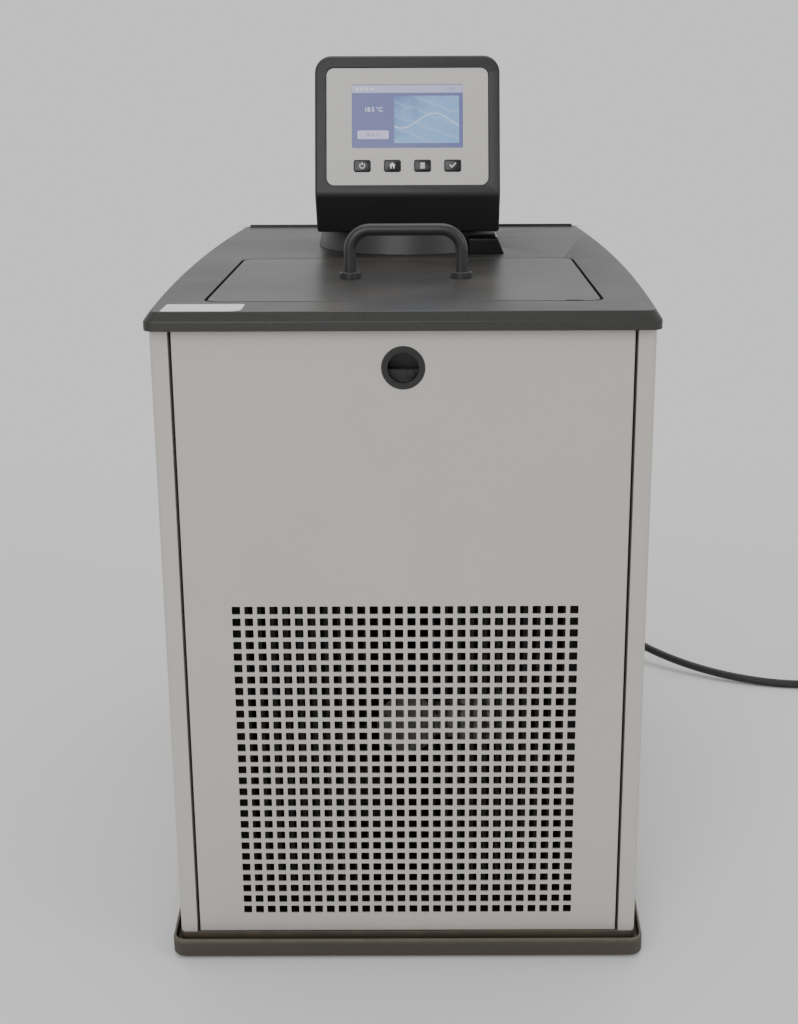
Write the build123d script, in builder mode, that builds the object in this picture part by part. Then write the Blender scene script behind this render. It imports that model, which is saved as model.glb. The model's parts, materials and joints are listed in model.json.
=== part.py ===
from build123d import *
import os
from math import cos, degrees, hypot, pi, radians, sin, tan

# A refrigerated circulator: a chilled bath in a floor cabinet, with a pump and a swivelling control head on
# top. Millimetres. The origin is on the floor under the middle of the cabinet and its rear fittings, x runs to
# the right as seen from the front, y to the rear and z up.

# Cabinet seen from above
overall_depth = 565.0  # front edge of the deck to the ends of the hose fittings
front_overhang = 9.5  # deck and tray stand this far in front of the front panel
fitting_length = 27.5  # hose fittings stand this far behind the rear panel
cabinet_depth = overall_depth - front_overhang - fitting_length
half_front = 173.4  # half widths of the cabinet at its front, middle and rear
half_middle = 181.0
half_rear = 172.5
cabinet_corner = 4.0
cabinet_front = front_overhang - overall_depth / 2
cabinet_rear = cabinet_front + cabinet_depth
sheet = 1.2  # painted steel of the panels

# Tray and feet
tray_bottom = 2.3
tray_lip_height = 14.5
tray_side = 5.5  # the tray stands out this far beyond the cabinet at the sides
tray_middle = 3.8
tray_rear = 3.5
tray_corner = 10.0
tray_lip = 2.2
tray_groove = 7.0  # depth of the groove round the cabinet's foot
tray_edge = 2.0
plinth_height = 1.2  # the cabinet stands on a low plinth inside the groove
foot_radius = 16.0
foot_recess = 3.0
foot_edge = 1.0
foot_x = 140.0
foot_setback = 38.0  # foot centre behind the front panel, and before the rear one
lip_top = tray_bottom + tray_lip_height
cabinet_foot = lip_top + plinth_height

# Deck
deck_bottom = 484.7
deck_rim = 6.5
deck_bevel = 6.5
deck_bevel_run = 4.5
deck_side = 2.5
deck_rear = 5.0
deck_corner = 8.0
deck_skin = 3.0
deck_rim_wall = 8.0
deck_lip = 2.5  # height of the lip along the rear edge
deck_lip_width = 332.0
deck_lip_wall = 3.0
deck_top = deck_bottom + deck_rim + deck_bevel

# Lid in its opening
lid_setback = 154.5  # middle of the lid behind the front panel
opening_width = 283.4
opening_depth = 235.0
opening_corner = 12.0
lid_gap = 2.0
lid_plate = 6.0
seal_thickness = 1.7
ledge = 9.0  # width of the ledge that carries the seal and the lid
mouth_frame = 12.0
plug_gap = 6.7
plug_depth = 12.0
notch_width = 14.0
notch_depth = 3.0
lid_y = cabinet_front + lid_setback
ledge_top = deck_top - lid_plate - seal_thickness

# Lid handle
handle_span = 87.0
handle_rod = 9.3
handle_height = 42.0
handle_bend = 16.0
collar_diameter = 16.7
collar_height = 5.0
collar_edge = 0.8
screw_hole = 4.2
screw_grip = 14.0
screw_head = 8.0
screw_head_height = 2.6
rod_clearance = 0.05

# Body posts and front panel
post_face = 12.5  # visible width of a side panel's front face
panel_gap = 2.2
panel_flange = 12.0
panel_lift = 0.5
side_return = 11.5
grille_columns = 14
grille_rows = 14
grille_pitch = 18.0
grille_hole = 15.05
grille_z = 158.7
side_inner = half_front - post_face
panel_width = 2 * (side_inner - panel_gap)
panel_bottom = cabinet_foot + panel_lift

# Finger pull
pull_z = 457.6
pull_ring = 30.3
pull_ring_proud = 1.0
pull_body = 26.5
pull_bore = 21.5
pull_depth = 18.0
pull_back = 1.5
pull_shelf_drop = 2.3
pull_shelf_setback = 6.0
pull_boss = 6.0
pull_boss_x = 5.2
pull_boss_drop = 5.4
pull_boss_length = 1.0

# Chassis frame
pan_thickness = 1.5
frame_inset = 3.2
angle = 20.0
angle_thickness = 1.5
post_inset = 13.9  # inner edge of the corner posts inside the side panels' front faces
rail = 10.0
cross_rail = 20.0
front_post_gap = 13.2  # front posts stand this far behind the front panel's face
post_x = side_inner - post_inset
cross_setbacks = (80.0, 400.0)
magnet_width = 10.0
magnet_height = 30.0
magnet_heights = (60.0, 440.0)

# Bath tank and its foam
tank_inset = 2.7  # tank wall inside the mouth of the deck
tank_setback = 45.0
tank_length = 400.0
tank_floor = 334.0
tank_wall = 1.0
tank_corner = 10.0
tank_floor_bend = 8.0
tank_flange = 10.0
foam_side = 12.7
foam_floor = 15.0
foam_gap = 0.3
pipe_clearance = 0.3
tank_half_width = opening_width / 2 - ledge - tank_inset
tank_y = cabinet_front + tank_setback + tank_length / 2
tank_rear = tank_y + tank_length / 2
foam_bottom = tank_floor - tank_wall - foam_floor
foam_rear = tank_rear + tank_wall + foam_gap + foam_side

# Turret
turret_setback = 378.0
turret_base = 83.6
turret_top = 79.8
turret_wall = 2.5
turret_height = 17.8
turret_hole = 66.0
bridge_radius = 73.7
bridge_plate_thickness = 2.0
turret_boss = 82.0
turret_y = cabinet_front + turret_setback
turret_plate_top = deck_top + turret_height

# Side cover next to the turret
cover_left = 53.7
cover_right = 84.6
cover_height = 14.5
cover_slope = 6.0
cover_setback = 301.5
cover_depth = 44.0
cover_edge = 2.0

# Control head
head_width = 159.7
head_bottom = 516.9
bend_z = 550.5
bend_setback = 285.5
chin_setback = 303.3
head_rear_setback = 452.0
face_height = 120.6
face_tilt = 16.5
head_back_height = 66.0  # straight part of the back, from the bottom
head_top_depth = 70.0
head_corner = 14.3
head_wall = 3.5
head_parting = 34.0  # the front housing ends this far behind the face
head_edge = 1.6
chin_round = 3.0
bend_round = 8.0
back_round = 26.0

# Swivel: the head's spigot turns in a ring on the turret
spigot_radius = 55.6
spigot_wall = 3.4
swivel_clearance = 0.05
ring_radius = 62.0
ring_sleeve = 57.9
ring_flange = 1.2
ring_depth = 6.5
head_lift = head_bottom - turret_plate_top - ring_flange

# Bezel, display and keys, measured on the face from its bend upward
bezel_width = 139.6
bezel_height = 101.7
bezel_corner = 6.5
bezel_below = 8.6  # from the bend to the bezel's lower edge
bezel_gap = 0.25
bezel_thickness = 1.5
bezel_recess = 0.7
display_width = 95.7
display_height = 55.0
display_drop = 14.4  # from the bezel's upper edge
display_frame = 3.0
display_depth = 5.0
display_corner = 1.5
key_width = 13.8
key_height = 9.6
key_corner = 1.8
key_edge = 0.4
key_pitch = 26.0
key_drop = 85.0
key_gap = 0.4
key_proud = 1.0
key_flange = 1.1
key_flange_thickness = 1.1
key_travel = 0.8
key_play = 0.1
window_margin = 5.0
board_width = 130.0
board_height = 92.0
board_thickness = 1.6
board_setback = 9.2
board_post = 3.0
switch_size = 6.0
chip_size = 18.0
chip_height = 2.0
face_y = cabinet_front + bend_setback
bezel_top = bezel_below + bezel_height
bezel_middle = bezel_below + bezel_height / 2
display_middle = bezel_top - display_drop - display_height / 2
key_row = bezel_top - key_drop
bezel_back = bezel_recess + bezel_thickness

# Pump
motor_radius = 29.0
motor_height = 60.0
motor_foot = 36.0
motor_foot_height = 4.0
motor_edge = 5.0
shaft_radius = 4.0
shaft_clearance = 0.05
shaft_in_motor = 34.0
column_radius = 20.0
column_wall = 3.0
housing_radius = 30.0
housing_bottom = 344.0
housing_height = 28.0
housing_wall = 3.0
pump_inlet = 11.0
nozzle_length = 4.0
impeller_radius = 22.0
impeller_disc = 3.0
impeller_hub = 7.0
impeller_lift = 4.0
vane_count = 6
vane_height = 6.0
vane_thickness = 1.6
hose_radius = 6.0
hose_bore = 4.8
housing_top = housing_bottom + housing_height
outlet_z = housing_bottom + housing_height / 2

# Heater, probe and evaporator in the bath
heater_radius = 4.0
heater_ring = 32.0
heater_z = 396.0
heater_bend = 12.0
heater_step = 60
probe_radius = 3.0
probe_x = 40.0
probe_setback = 30.0
probe_bottom = 400.0
evaporator_radius = 4.75
evaporator_bend = 10.0
evaporator_left = -105.0
evaporator_right = 103.0
evaporator_riser = 117.0
evaporator_front_setback = 300.0
evaporator_rear_setback = 434.0
evaporator_z = 366.0
evaporator_fall = 2.0
evaporator_turn_step = 5.0
evaporator_exit_z = 455.0

# Hose, drain and cord fittings on the rear panel
fitting_z = 440.0
return_x = -60.0
nut_radius = 12.0
nut_length = 6.0
barb_radius = 6.35
barb_bore = 4.5
barb_edge = 1.0
socket_radius = 9.0
socket_length = 12.0
return_reach = 16.0
drain_x = -110.0
drain_z = 60.0
drain_tank_setback = 430.0
drain_length = 16.0
plug_head = 8.5
plug_head_length = 5.0
vent_count = 14
vent_width = 88.0
vent_height = 5.0
vent_pitch = 12.0
vent_x = 62.0
vent_z = 215.0
screw_x = 152.5
screw_heights = (40.0, 180.0, 330.0, 465.0)
pan_head = 4.0
pan_head_height = 2.2
panel_screw_radius = 1.9
screw_length = 6.0
hose_bend = 11.0

# Condenser and fan
core_width = 256.0
core_height = 260.0
core_depth = 40.0
core_setback = 22.0
core_header = 12.0
core_fins = 24
core_fin = 3.0
end_plate = 1.5
shroud_sheet = 2.0
fan_opening = 104.0
shroud_ring = 24.0
shroud_ring_wall = 2.0
fan_radius = 98.0
fan_hub = 24.0
fan_hub_length = 18.0
fan_hub_gap = 4.0
blade_count = 5
blade_thickness = 1.6
blade_root = 26.0
blade_tip = 50.0
blade_root_pitch = 40.0
blade_tip_pitch = 20.0
fan_shaft = 3.0
fan_shaft_length = 22.0
fan_shaft_gap = 1.0
bracket_width = 22.0
bracket_gap = 3.0
fan_motor_radius = 30.0
fan_motor_length = 44.0
core_back = cabinet_front + core_setback + core_depth
hub_front = core_back + shroud_sheet + fan_hub_gap
bracket_front = core_back + shroud_sheet + shroud_ring
motor_front = bracket_front + shroud_sheet

# Compressor and refrigerant circuit
compressor_x = 45.0
compressor_setback = 350.0
compressor_radius = 70.0
compressor_seam = 73.0
compressor_height = 168.0
compressor_round = 22.0
grommet_radius = 11.0
grommet_height = 11.0
grommet_x = 74.0
grommet_y = 58.0
compressor_plate = 2.0
plate_margin = 14.0
line_radius = 3.2
suction_radius = 4.75
line_bend = 12.0
drier_radius = 10.0
drier_length = 90.0
drier_x = -120.0
drier_z = 70.0
pan_top = cabinet_foot + pan_thickness
compressor_y = cabinet_front + compressor_setback

# Power entry
power_x = 96.0
power_z = 70.0
power_width = 100.0
power_height = 84.0
power_depth = 28.0
gland_x = 112.0
gland_z = 46.0
gland_flange = 11.0
gland_flange_length = 3.0
gland_base = 8.0
gland_tip = 6.0
gland_length = 32.0
breaker_x = 72.0
breaker_z = 84.0
breaker_width = 19.0
breaker_height = 28.0
breaker_flange = 2.0
breaker_wall = 3.2
breaker_inside = 20.0
rocker_swing = 9.0
rocker_gap = 0.3
rocker_setback = 3.0
rocker_reach = 5.0
rocker_back = 2.5
rocker_pin = 1.5
rocker_pin_length = 1.2

# Mains cord: its coil, tie, plug and route, from the gland to the coil
cord_radius = 4.25
coil_x = 526.0
coil_inner = 38.2
coil_outer = 55.3
coil_height = 25.5
coil_lift = 0.9
coil_lead = 36.0  # straight cord at each end of the coil, up to the route's last point and to the plug
tie_arc = 14.0
tie_thickness = 0.8
plug_width = 25.0
plug_length = 34.0
plug_edge = 4.0
plug_neck = 24.0
plug_neck_tip = 6.0
plug_neck_base = 9.5
blade_gap = 12.7
plug_blade_width = 6.35
plug_blade_thickness = 1.5
plug_blade_length = 17.9
plug_blade_rise = 2.0
ground_pin = 2.4
ground_pin_length = 21.0
ground_pin_drop = 6.0
route_y = 207.0
cord_route = [
    (gland_x, cabinet_rear + gland_length, gland_z),
    (112, 329, 46),
    (141, 362, 42),
    (187, 362, 36),
    (226, 331, 28),
    (263, 278, 18),
    (322, 238, 8),
    (388, 212, cord_radius),
    (450, route_y, cord_radius),
    (coil_x - coil_lead, route_y, cord_radius),
]
coil_y = route_y + coil_outer - cord_radius


def cabinet_plan(side=0.0, middle=None, front=0.0, rear=0.0, corner=cabinet_corner):
    """The cabinet seen from above, grown by the given amounts: straight front and rear, sides bowed in arcs."""
    bow = side if middle is None else middle
    near = cabinet_front - front
    far = cabinet_rear + rear
    with BuildSketch() as plan:
        with BuildLine():
            right = ThreePointArc(
                (half_front + side, near), (half_middle + bow, (near + far) / 2), (half_rear + side, far)
            )
            left = ThreePointArc(
                (-half_front - side, near), (-half_middle - bow, (near + far) / 2), (-half_rear - side, far)
            )
            Line(right @ 0, left @ 0)
            Line(right @ 1, left @ 1)
        make_face()
        fillet(plan.vertices(), radius=corner)
    return plan.sketch


def level(z, y=0.0, x=0.0):
    """Horizontal plane at height z, centred on x and y."""
    return Plane(origin=(x, y, z))


def upright(y, x=0.0, z=0.0):
    """Plane facing the front at depth y, centred on x and z: a negative extrusion runs to the rear."""
    return Plane(origin=(x, y, z), x_dir=(1, 0, 0), z_dir=(0, -1, 0))


def corners(points):
    """A face with straight edges between the given corners."""
    with BuildSketch() as shape:
        with BuildLine():
            Polyline(*points, close=True)
        make_face()
    return shape.sketch


def pipe(points, bend, outer, bore=0.0):
    """A tube through the given points, bent to one radius at its corners."""
    with BuildPart() as tube:
        with BuildLine() as route:
            FilletPolyline(*points, radius=bend)
        with BuildSketch(Plane(origin=route.line @ 0, z_dir=route.line % 0)):
            Circle(outer)
            if bore:
                Circle(bore, mode=Mode.SUBTRACT)
        sweep(path=route.line)
    return tube.part


# Base tray: moulded, with a lip, a groove round the cabinet's foot and a plinth that carries the cabinet
feet_places = [
    (x, y)
    for x in (-foot_x, foot_x)
    for y in (cabinet_front + foot_setback, cabinet_rear - foot_setback)
]

with BuildPart() as base_tray:
    with BuildSketch(level(tray_bottom)):
        add(cabinet_plan(tray_side, tray_middle, front_overhang, tray_rear, tray_corner))
    extrude(amount=tray_lip_height)
    rim_faces = base_tray.faces().sort_by(Axis.Z)
    fillet(rim_faces[-1].outer_wire().edges() + rim_faces[0].outer_wire().edges(), radius=tray_edge)
    with BuildSketch(level(lip_top)):
        add(
            cabinet_plan(
                tray_side - tray_lip,
                tray_middle - tray_lip,
                front_overhang - tray_lip,
                tray_rear - tray_lip,
                tray_corner - tray_lip,
            )
        )
        add(cabinet_plan(), mode=Mode.SUBTRACT)
    extrude(amount=-tray_groove, mode=Mode.SUBTRACT)
    with BuildSketch(level(lip_top)):
        add(cabinet_plan())
    extrude(amount=plinth_height)
    with Locations(*[(x, y, tray_bottom) for x, y in feet_places]):
        Cylinder(
            foot_radius + rod_clearance,
            foot_recess,
            align=(Align.CENTER, Align.CENTER, Align.MIN),
            mode=Mode.SUBTRACT,
        )

# Feet: four rubber pads let into the tray
with BuildPart() as feet:
    with Locations(*[(x, y, 0) for x, y in feet_places]):
        Cylinder(foot_radius, tray_bottom + foot_recess, align=(Align.CENTER, Align.CENTER, Align.MIN))
    chamfer(feet.edges().group_by(Axis.Z)[0], length=foot_edge)

# Chassis frame: pan, four corner posts of angle, and the rails that carry the bath
pan_back = cabinet_rear - sheet
front_post_y = cabinet_front + front_post_gap
with BuildPart() as chassis_frame:
    with BuildSketch(level(cabinet_foot)):
        add(cabinet_plan(-frame_inset, front=-panel_flange - panel_lift, rear=-frame_inset))
    extrude(amount=pan_thickness)
    for sign in (-1, 1):
        for corner_y, inward in ((front_post_y, 1), (pan_back, -1)):
            with BuildSketch(level(pan_top)):
                add(
                    corners(
                        [
                            (sign * post_x, corner_y),
                            (sign * (post_x + angle), corner_y),
                            (sign * (post_x + angle), corner_y + inward * angle),
                            (sign * (post_x + angle - angle_thickness), corner_y + inward * angle),
                            (sign * (post_x + angle - angle_thickness), corner_y + inward * angle_thickness),
                            (sign * post_x, corner_y + inward * angle_thickness),
                        ]
                    )
                )
            extrude(amount=deck_bottom - pan_top)
        with Locations((sign * (post_x + rail / 2), (front_post_y + pan_back) / 2, foam_bottom - rail / 2)):
            Box(rail, pan_back - front_post_y, rail)
    with Locations(*[(0, cabinet_front + setback, foam_bottom - rail / 2) for setback in cross_setbacks]):
        Box(2 * post_x, cross_rail, rail)
    for screw_z in screw_heights:
        with Locations(*[upright(pan_back, x, screw_z) for x in (-screw_x, screw_x)]):
            Cylinder(panel_screw_radius + rod_clearance, 2 * screw_length, mode=Mode.SUBTRACT)

# Magnets: four catches on the front posts that hold the front panel
with BuildPart() as panel_magnets:
    for sign in (-1, 1):
        for magnet_z in magnet_heights:
            with Locations((sign * (post_x + magnet_width / 2), cabinet_front + sheet, magnet_z)):
                Box(
                    magnet_width,
                    front_post_gap - sheet,
                    magnet_height,
                    align=(Align.CENTER, Align.MIN, Align.CENTER),
                )


def side_panel_section(sign):
    """Section of one bowed side panel: its wall, the front post face with its return, and the rear return."""
    with BuildSketch() as section:
        add(cabinet_plan())
        add(
            cabinet_plan(-sheet, front=-sheet, rear=-sheet, corner=cabinet_corner - sheet),
            mode=Mode.SUBTRACT,
        )
        with Locations((0, cabinet_front), (0, cabinet_rear)):
            Rectangle(2 * side_inner, 2 * cabinet_corner, mode=Mode.SUBTRACT)
        with Locations((sign * (side_inner + sheet / 2), cabinet_front)):
            Rectangle(sheet, side_return, align=(Align.CENTER, Align.MIN))
        with Locations((-sign * overall_depth / 2, 0)):
            Rectangle(overall_depth, 2 * overall_depth, mode=Mode.SUBTRACT)
    return section.sketch


# Side panels: bowed sheet that wraps round to the front as a narrow post face
with BuildPart() as side_panel_left:
    with BuildSketch(level(cabinet_foot)):
        add(side_panel_section(-1))
    extrude(amount=deck_bottom - cabinet_foot)

with BuildPart() as side_panel_right:
    with BuildSketch(level(cabinet_foot)):
        add(side_panel_section(1))
    extrude(amount=deck_bottom - cabinet_foot)

# Front panel: a folded pan with a square-hole grille and a round hole for the finger pull
panel_height = deck_bottom - panel_lift - panel_bottom
with BuildPart() as front_panel:
    with BuildSketch(upright(cabinet_front, z=panel_bottom)):
        Rectangle(panel_width, panel_height, align=(Align.CENTER, Align.MIN))
    extrude(amount=-panel_flange)
    with BuildSketch(upright(cabinet_front + sheet, z=panel_bottom + sheet)):
        Rectangle(panel_width - 2 * sheet, panel_height - 2 * sheet, align=(Align.CENTER, Align.MIN))
    extrude(amount=-panel_flange, mode=Mode.SUBTRACT)
    with BuildSketch(upright(cabinet_front, z=grille_z)):
        with GridLocations(grille_pitch, grille_pitch, grille_columns, grille_rows):
            Rectangle(grille_hole, grille_hole)
    extrude(amount=-sheet, mode=Mode.SUBTRACT)
    with BuildSketch(upright(cabinet_front, z=pull_z)):
        Circle(pull_body / 2 + rod_clearance)
    extrude(amount=-sheet, mode=Mode.SUBTRACT)

# Finger pull: a flanged cup with a shelf across its lower half
with BuildPart() as finger_pull:
    with BuildSketch(upright(cabinet_front - pull_ring_proud, z=pull_z)):
        Circle(pull_ring / 2)
    extrude(amount=-pull_ring_proud)
    chamfer(finger_pull.faces().sort_by(Axis.Y)[0].edges(), length=pull_ring_proud / 2)
    with BuildSketch(upright(cabinet_front, z=pull_z)):
        Circle(pull_body / 2)
    extrude(amount=-pull_depth)
    with BuildSketch(upright(cabinet_front - pull_ring_proud, z=pull_z)):
        Circle(pull_bore / 2)
    extrude(amount=-pull_shelf_setback - pull_ring_proud, mode=Mode.SUBTRACT)
    with BuildSketch(upright(cabinet_front + pull_shelf_setback, z=pull_z)):
        Circle(pull_bore / 2)
        with Locations((0, -pull_shelf_drop)):
            Rectangle(pull_ring, pull_ring, align=(Align.CENTER, Align.MAX), mode=Mode.SUBTRACT)
    extrude(amount=-(pull_depth - pull_shelf_setback - pull_back), mode=Mode.SUBTRACT)
    with Locations(upright(cabinet_front + pull_shelf_setback, pull_boss_x, pull_z - pull_boss_drop)):
        Cylinder(pull_boss / 2, pull_boss_length, align=(Align.CENTER, Align.CENTER, Align.MIN))

# Rear panel: flat sheet with two columns of air slots and the openings for its fittings
with BuildPart() as rear_panel:
    with BuildSketch(upright(pan_back)):
        with Locations((0, panel_bottom)):
            Rectangle(panel_width, panel_height, align=(Align.CENTER, Align.MIN))
        with Locations(*[(x, vent_z) for x in (-vent_x, vent_x)]):
            with GridLocations(0, vent_pitch, 1, vent_count):
                Rectangle(vent_width, vent_height, mode=Mode.SUBTRACT)
        with Locations((0, fitting_z), (return_x, fitting_z), (drain_x, drain_z)):
            Circle(socket_radius + rod_clearance, mode=Mode.SUBTRACT)
        with Locations((gland_x, gland_z)):
            Circle(gland_base + rod_clearance, mode=Mode.SUBTRACT)
        with Locations((breaker_x, breaker_z)):
            Rectangle(breaker_width, breaker_height, mode=Mode.SUBTRACT)
        with Locations(*[(sign * screw_x, z) for sign in (-1, 1) for z in screw_heights]):
            Circle(panel_screw_radius + rod_clearance, mode=Mode.SUBTRACT)
    extrude(amount=-sheet)

# Rear panel screws: pan heads along both edges
with BuildPart() as panel_screws:
    with Locations(*[upright(cabinet_rear, sign * screw_x, z) for sign in (-1, 1) for z in screw_heights]):
        Cylinder(pan_head, pan_head_height, align=(Align.CENTER, Align.CENTER, Align.MAX))
        Cylinder(panel_screw_radius, screw_length, align=(Align.CENTER, Align.CENTER, Align.MIN))

# Top deck: moulded, with a bevelled rim, a ledged opening for the lid and a hole for the pump under the turret
rim_plan = cabinet_plan(deck_side, front=front_overhang, rear=deck_rear, corner=deck_corner)
top_plan = cabinet_plan(
    deck_side - deck_bevel_run,
    front=front_overhang - deck_bevel_run,
    rear=deck_rear - deck_bevel_run,
    corner=deck_corner,
)
mouth_width = opening_width - 2 * ledge
mouth_depth = opening_depth - 2 * ledge
with BuildPart() as top_deck:
    with BuildSketch(level(deck_bottom)):
        add(rim_plan)
    extrude(amount=deck_rim)
    with BuildSketch(level(deck_bottom + deck_rim)):
        add(rim_plan)
    with BuildSketch(level(deck_top)):
        add(top_plan)
    loft()
    with BuildSketch(level(deck_bottom)):
        add(
            cabinet_plan(
                deck_side - deck_rim_wall,
                front=front_overhang - deck_rim_wall,
                rear=deck_rear - deck_rim_wall,
                corner=deck_corner,
            )
        )
        with Locations((0, lid_y)):
            Rectangle(opening_width + 2 * mouth_frame, opening_depth + 2 * mouth_frame, mode=Mode.SUBTRACT)
        with Locations((0, turret_y)):
            Circle(turret_boss, mode=Mode.SUBTRACT)
    extrude(amount=deck_top - deck_bottom - deck_skin, mode=Mode.SUBTRACT)
    with BuildSketch(level(deck_top, lid_y)):
        RectangleRounded(opening_width, opening_depth, opening_corner)
    extrude(amount=ledge_top - deck_top, mode=Mode.SUBTRACT)
    with BuildSketch(level(deck_top, lid_y)):
        RectangleRounded(mouth_width, mouth_depth, opening_corner - lid_gap)
    extrude(amount=deck_bottom - deck_top, mode=Mode.SUBTRACT)
    with BuildSketch(level(deck_top, turret_y)):
        Circle(turret_hole)
    extrude(amount=deck_bottom - deck_top, mode=Mode.SUBTRACT)
    with BuildSketch(level(deck_top, turret_y)):
        Circle(bridge_radius + rod_clearance)
    extrude(amount=-bridge_plate_thickness, mode=Mode.SUBTRACT)
    lip_back = cabinet_rear + deck_rear - deck_bevel_run
    with Locations((0, lip_back, deck_top)):
        Box(deck_lip_width, deck_lip_wall, deck_lip, align=(Align.CENTER, Align.MAX, Align.MIN))

# Lid: a flush plate with a plug below it that reaches into the bath
lid_width = opening_width - 2 * lid_gap
lid_depth = opening_depth - 2 * lid_gap
plug_bottom = deck_top - lid_plate - plug_depth
with BuildPart() as lid:
    with BuildSketch(level(deck_top, lid_y)):
        RectangleRounded(lid_width, lid_depth, opening_corner - lid_gap)
    extrude(amount=-lid_plate)
    with BuildSketch(level(deck_top - lid_plate, lid_y)):
        RectangleRounded(mouth_width - 2 * plug_gap, mouth_depth - 2 * plug_gap, opening_corner - lid_gap)
    extrude(amount=-plug_depth)
    with BuildSketch(level(deck_top, lid_y - lid_depth / 2, lid_width / 2 - opening_corner - notch_width / 2)):
        Ellipse(notch_width / 2, notch_depth)
    extrude(amount=-notch_depth, mode=Mode.SUBTRACT)
    with Locations(*[(x, lid_y, plug_bottom) for x in (-handle_span / 2, handle_span / 2)]):
        Cylinder(
            screw_head / 2 + lid_gap,
            screw_head_height,
            align=(Align.CENTER, Align.CENTER, Align.MIN),
            mode=Mode.SUBTRACT,
        )
        Cylinder(screw_hole / 2 + rod_clearance, 4 * plug_depth, mode=Mode.SUBTRACT)

# Lid seal: a rubber gasket on the ledge
with BuildPart() as lid_seal:
    with BuildSketch(level(ledge_top, lid_y)):
        RectangleRounded(lid_width, lid_depth, opening_corner - lid_gap)
        RectangleRounded(
            mouth_width + lid_gap, mouth_depth + lid_gap, opening_corner - lid_gap, mode=Mode.SUBTRACT
        )
    extrude(amount=seal_thickness)

# Lid handle: a bent rod that stands on the lid
handle_top = deck_top + handle_height - handle_rod / 2
with BuildPart() as lid_handle:
    with BuildLine() as handle_line:
        FilletPolyline(
            (-handle_span / 2, lid_y, deck_top),
            (-handle_span / 2, lid_y, handle_top),
            (handle_span / 2, lid_y, handle_top),
            (handle_span / 2, lid_y, deck_top),
            radius=handle_bend,
        )
    with BuildSketch(level(deck_top, lid_y, -handle_span / 2)):
        Circle(handle_rod / 2)
    sweep(path=handle_line.line)
    with Locations(*[(x, lid_y, deck_top) for x in (-handle_span / 2, handle_span / 2)]):
        Cylinder(
            screw_hole / 2 + rod_clearance,
            screw_grip + rod_clearance,
            align=(Align.CENTER, Align.CENTER, Align.MIN),
            mode=Mode.SUBTRACT,
        )

# Handle collars: two rings round the feet of the handle
with BuildPart() as handle_collars:
    with BuildSketch(level(deck_top, lid_y)):
        with GridLocations(handle_span, 0, 2, 1):
            Circle(collar_diameter / 2)
            Circle(handle_rod / 2 + rod_clearance, mode=Mode.SUBTRACT)
    extrude(amount=collar_height)
    chamfer(handle_collars.faces().group_by(Axis.Z)[-1].edges(), length=collar_edge)

# Handle screws: from below, through the lid into the rod
with BuildPart() as handle_screws:
    with Locations(*[(x, lid_y, plug_bottom + screw_head_height) for x in (-handle_span / 2, handle_span / 2)]):
        Cylinder(screw_head / 2, screw_head_height - lid_gap / 4, align=(Align.CENTER, Align.CENTER, Align.MAX))
        Cylinder(
            screw_hole / 2,
            deck_top - plug_bottom - screw_head_height + screw_grip,
            align=(Align.CENTER, Align.CENTER, Align.MIN),
        )

# Foam: a box round the tank, with ways through for the pipes
tank_outer = tank_half_width + tank_wall
foam_top = deck_bottom - tank_wall
foam_front = cabinet_front + tank_setback - tank_wall - foam_gap - foam_side
drain_y = cabinet_front + drain_tank_setback
evaporator_rear_y = cabinet_front + evaporator_rear_setback
rear_pipes = [
    (0, fitting_z, hose_radius),
    (return_x, fitting_z, hose_radius),
    (evaporator_left, evaporator_exit_z, evaporator_radius),
    (evaporator_riser, evaporator_exit_z, evaporator_radius),
]
with BuildPart() as tank_insulation:
    with BuildSketch(level(foam_bottom, (foam_front + foam_rear) / 2)):
        Rectangle(2 * (tank_outer + foam_gap + foam_side), foam_rear - foam_front)
    extrude(amount=foam_top - foam_bottom)
    with BuildSketch(level(foam_top, tank_y)):
        RectangleRounded(
            2 * (tank_outer + foam_gap),
            tank_length + 2 * (tank_wall + foam_gap),
            tank_corner + tank_wall + foam_gap,
        )
    extrude(amount=tank_floor - tank_wall - foam_top, mode=Mode.SUBTRACT)
    for x, z, radius in rear_pipes:
        with BuildSketch(upright(tank_y, x, z)):
            Circle(radius + pipe_clearance)
        extrude(amount=-tank_length, mode=Mode.SUBTRACT)
    with BuildSketch(level(tank_floor, drain_y, drain_x)):
        Circle(hose_radius + pipe_clearance)
    extrude(amount=-2 * foam_floor, mode=Mode.SUBTRACT)

# Bath tank: a drawn steel vessel with a flange that hangs under the deck
with BuildPart() as bath_tank:
    with BuildSketch(level(foam_top, tank_y)):
        RectangleRounded(2 * tank_outer, tank_length + 2 * tank_wall, tank_corner + tank_wall)
    extrude(amount=tank_floor - tank_wall - foam_top)
    fillet(bath_tank.faces().sort_by(Axis.Z)[0].edges(), radius=tank_floor_bend + tank_wall)
    with BuildSketch(level(foam_top, tank_y)):
        RectangleRounded(
            2 * (tank_outer + tank_flange),
            tank_length + 2 * (tank_wall + tank_flange),
            tank_corner + tank_flange,
        )
    extrude(amount=tank_wall)
    with BuildPart(mode=Mode.SUBTRACT) as hollow:
        with BuildSketch(level(deck_bottom, tank_y)):
            RectangleRounded(2 * tank_half_width, tank_length, tank_corner)
        extrude(amount=tank_floor - deck_bottom)
        fillet(hollow.faces().sort_by(Axis.Z)[0].edges(), radius=tank_floor_bend)
    for x, z, radius in rear_pipes:
        with BuildSketch(upright(tank_y, x, z)):
            Circle(radius + pipe_clearance)
        extrude(amount=-tank_length, mode=Mode.SUBTRACT)
    with BuildSketch(level(tank_floor, drain_y, drain_x)):
        Circle(hose_bore)
    extrude(amount=-2 * tank_wall, mode=Mode.SUBTRACT)

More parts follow.
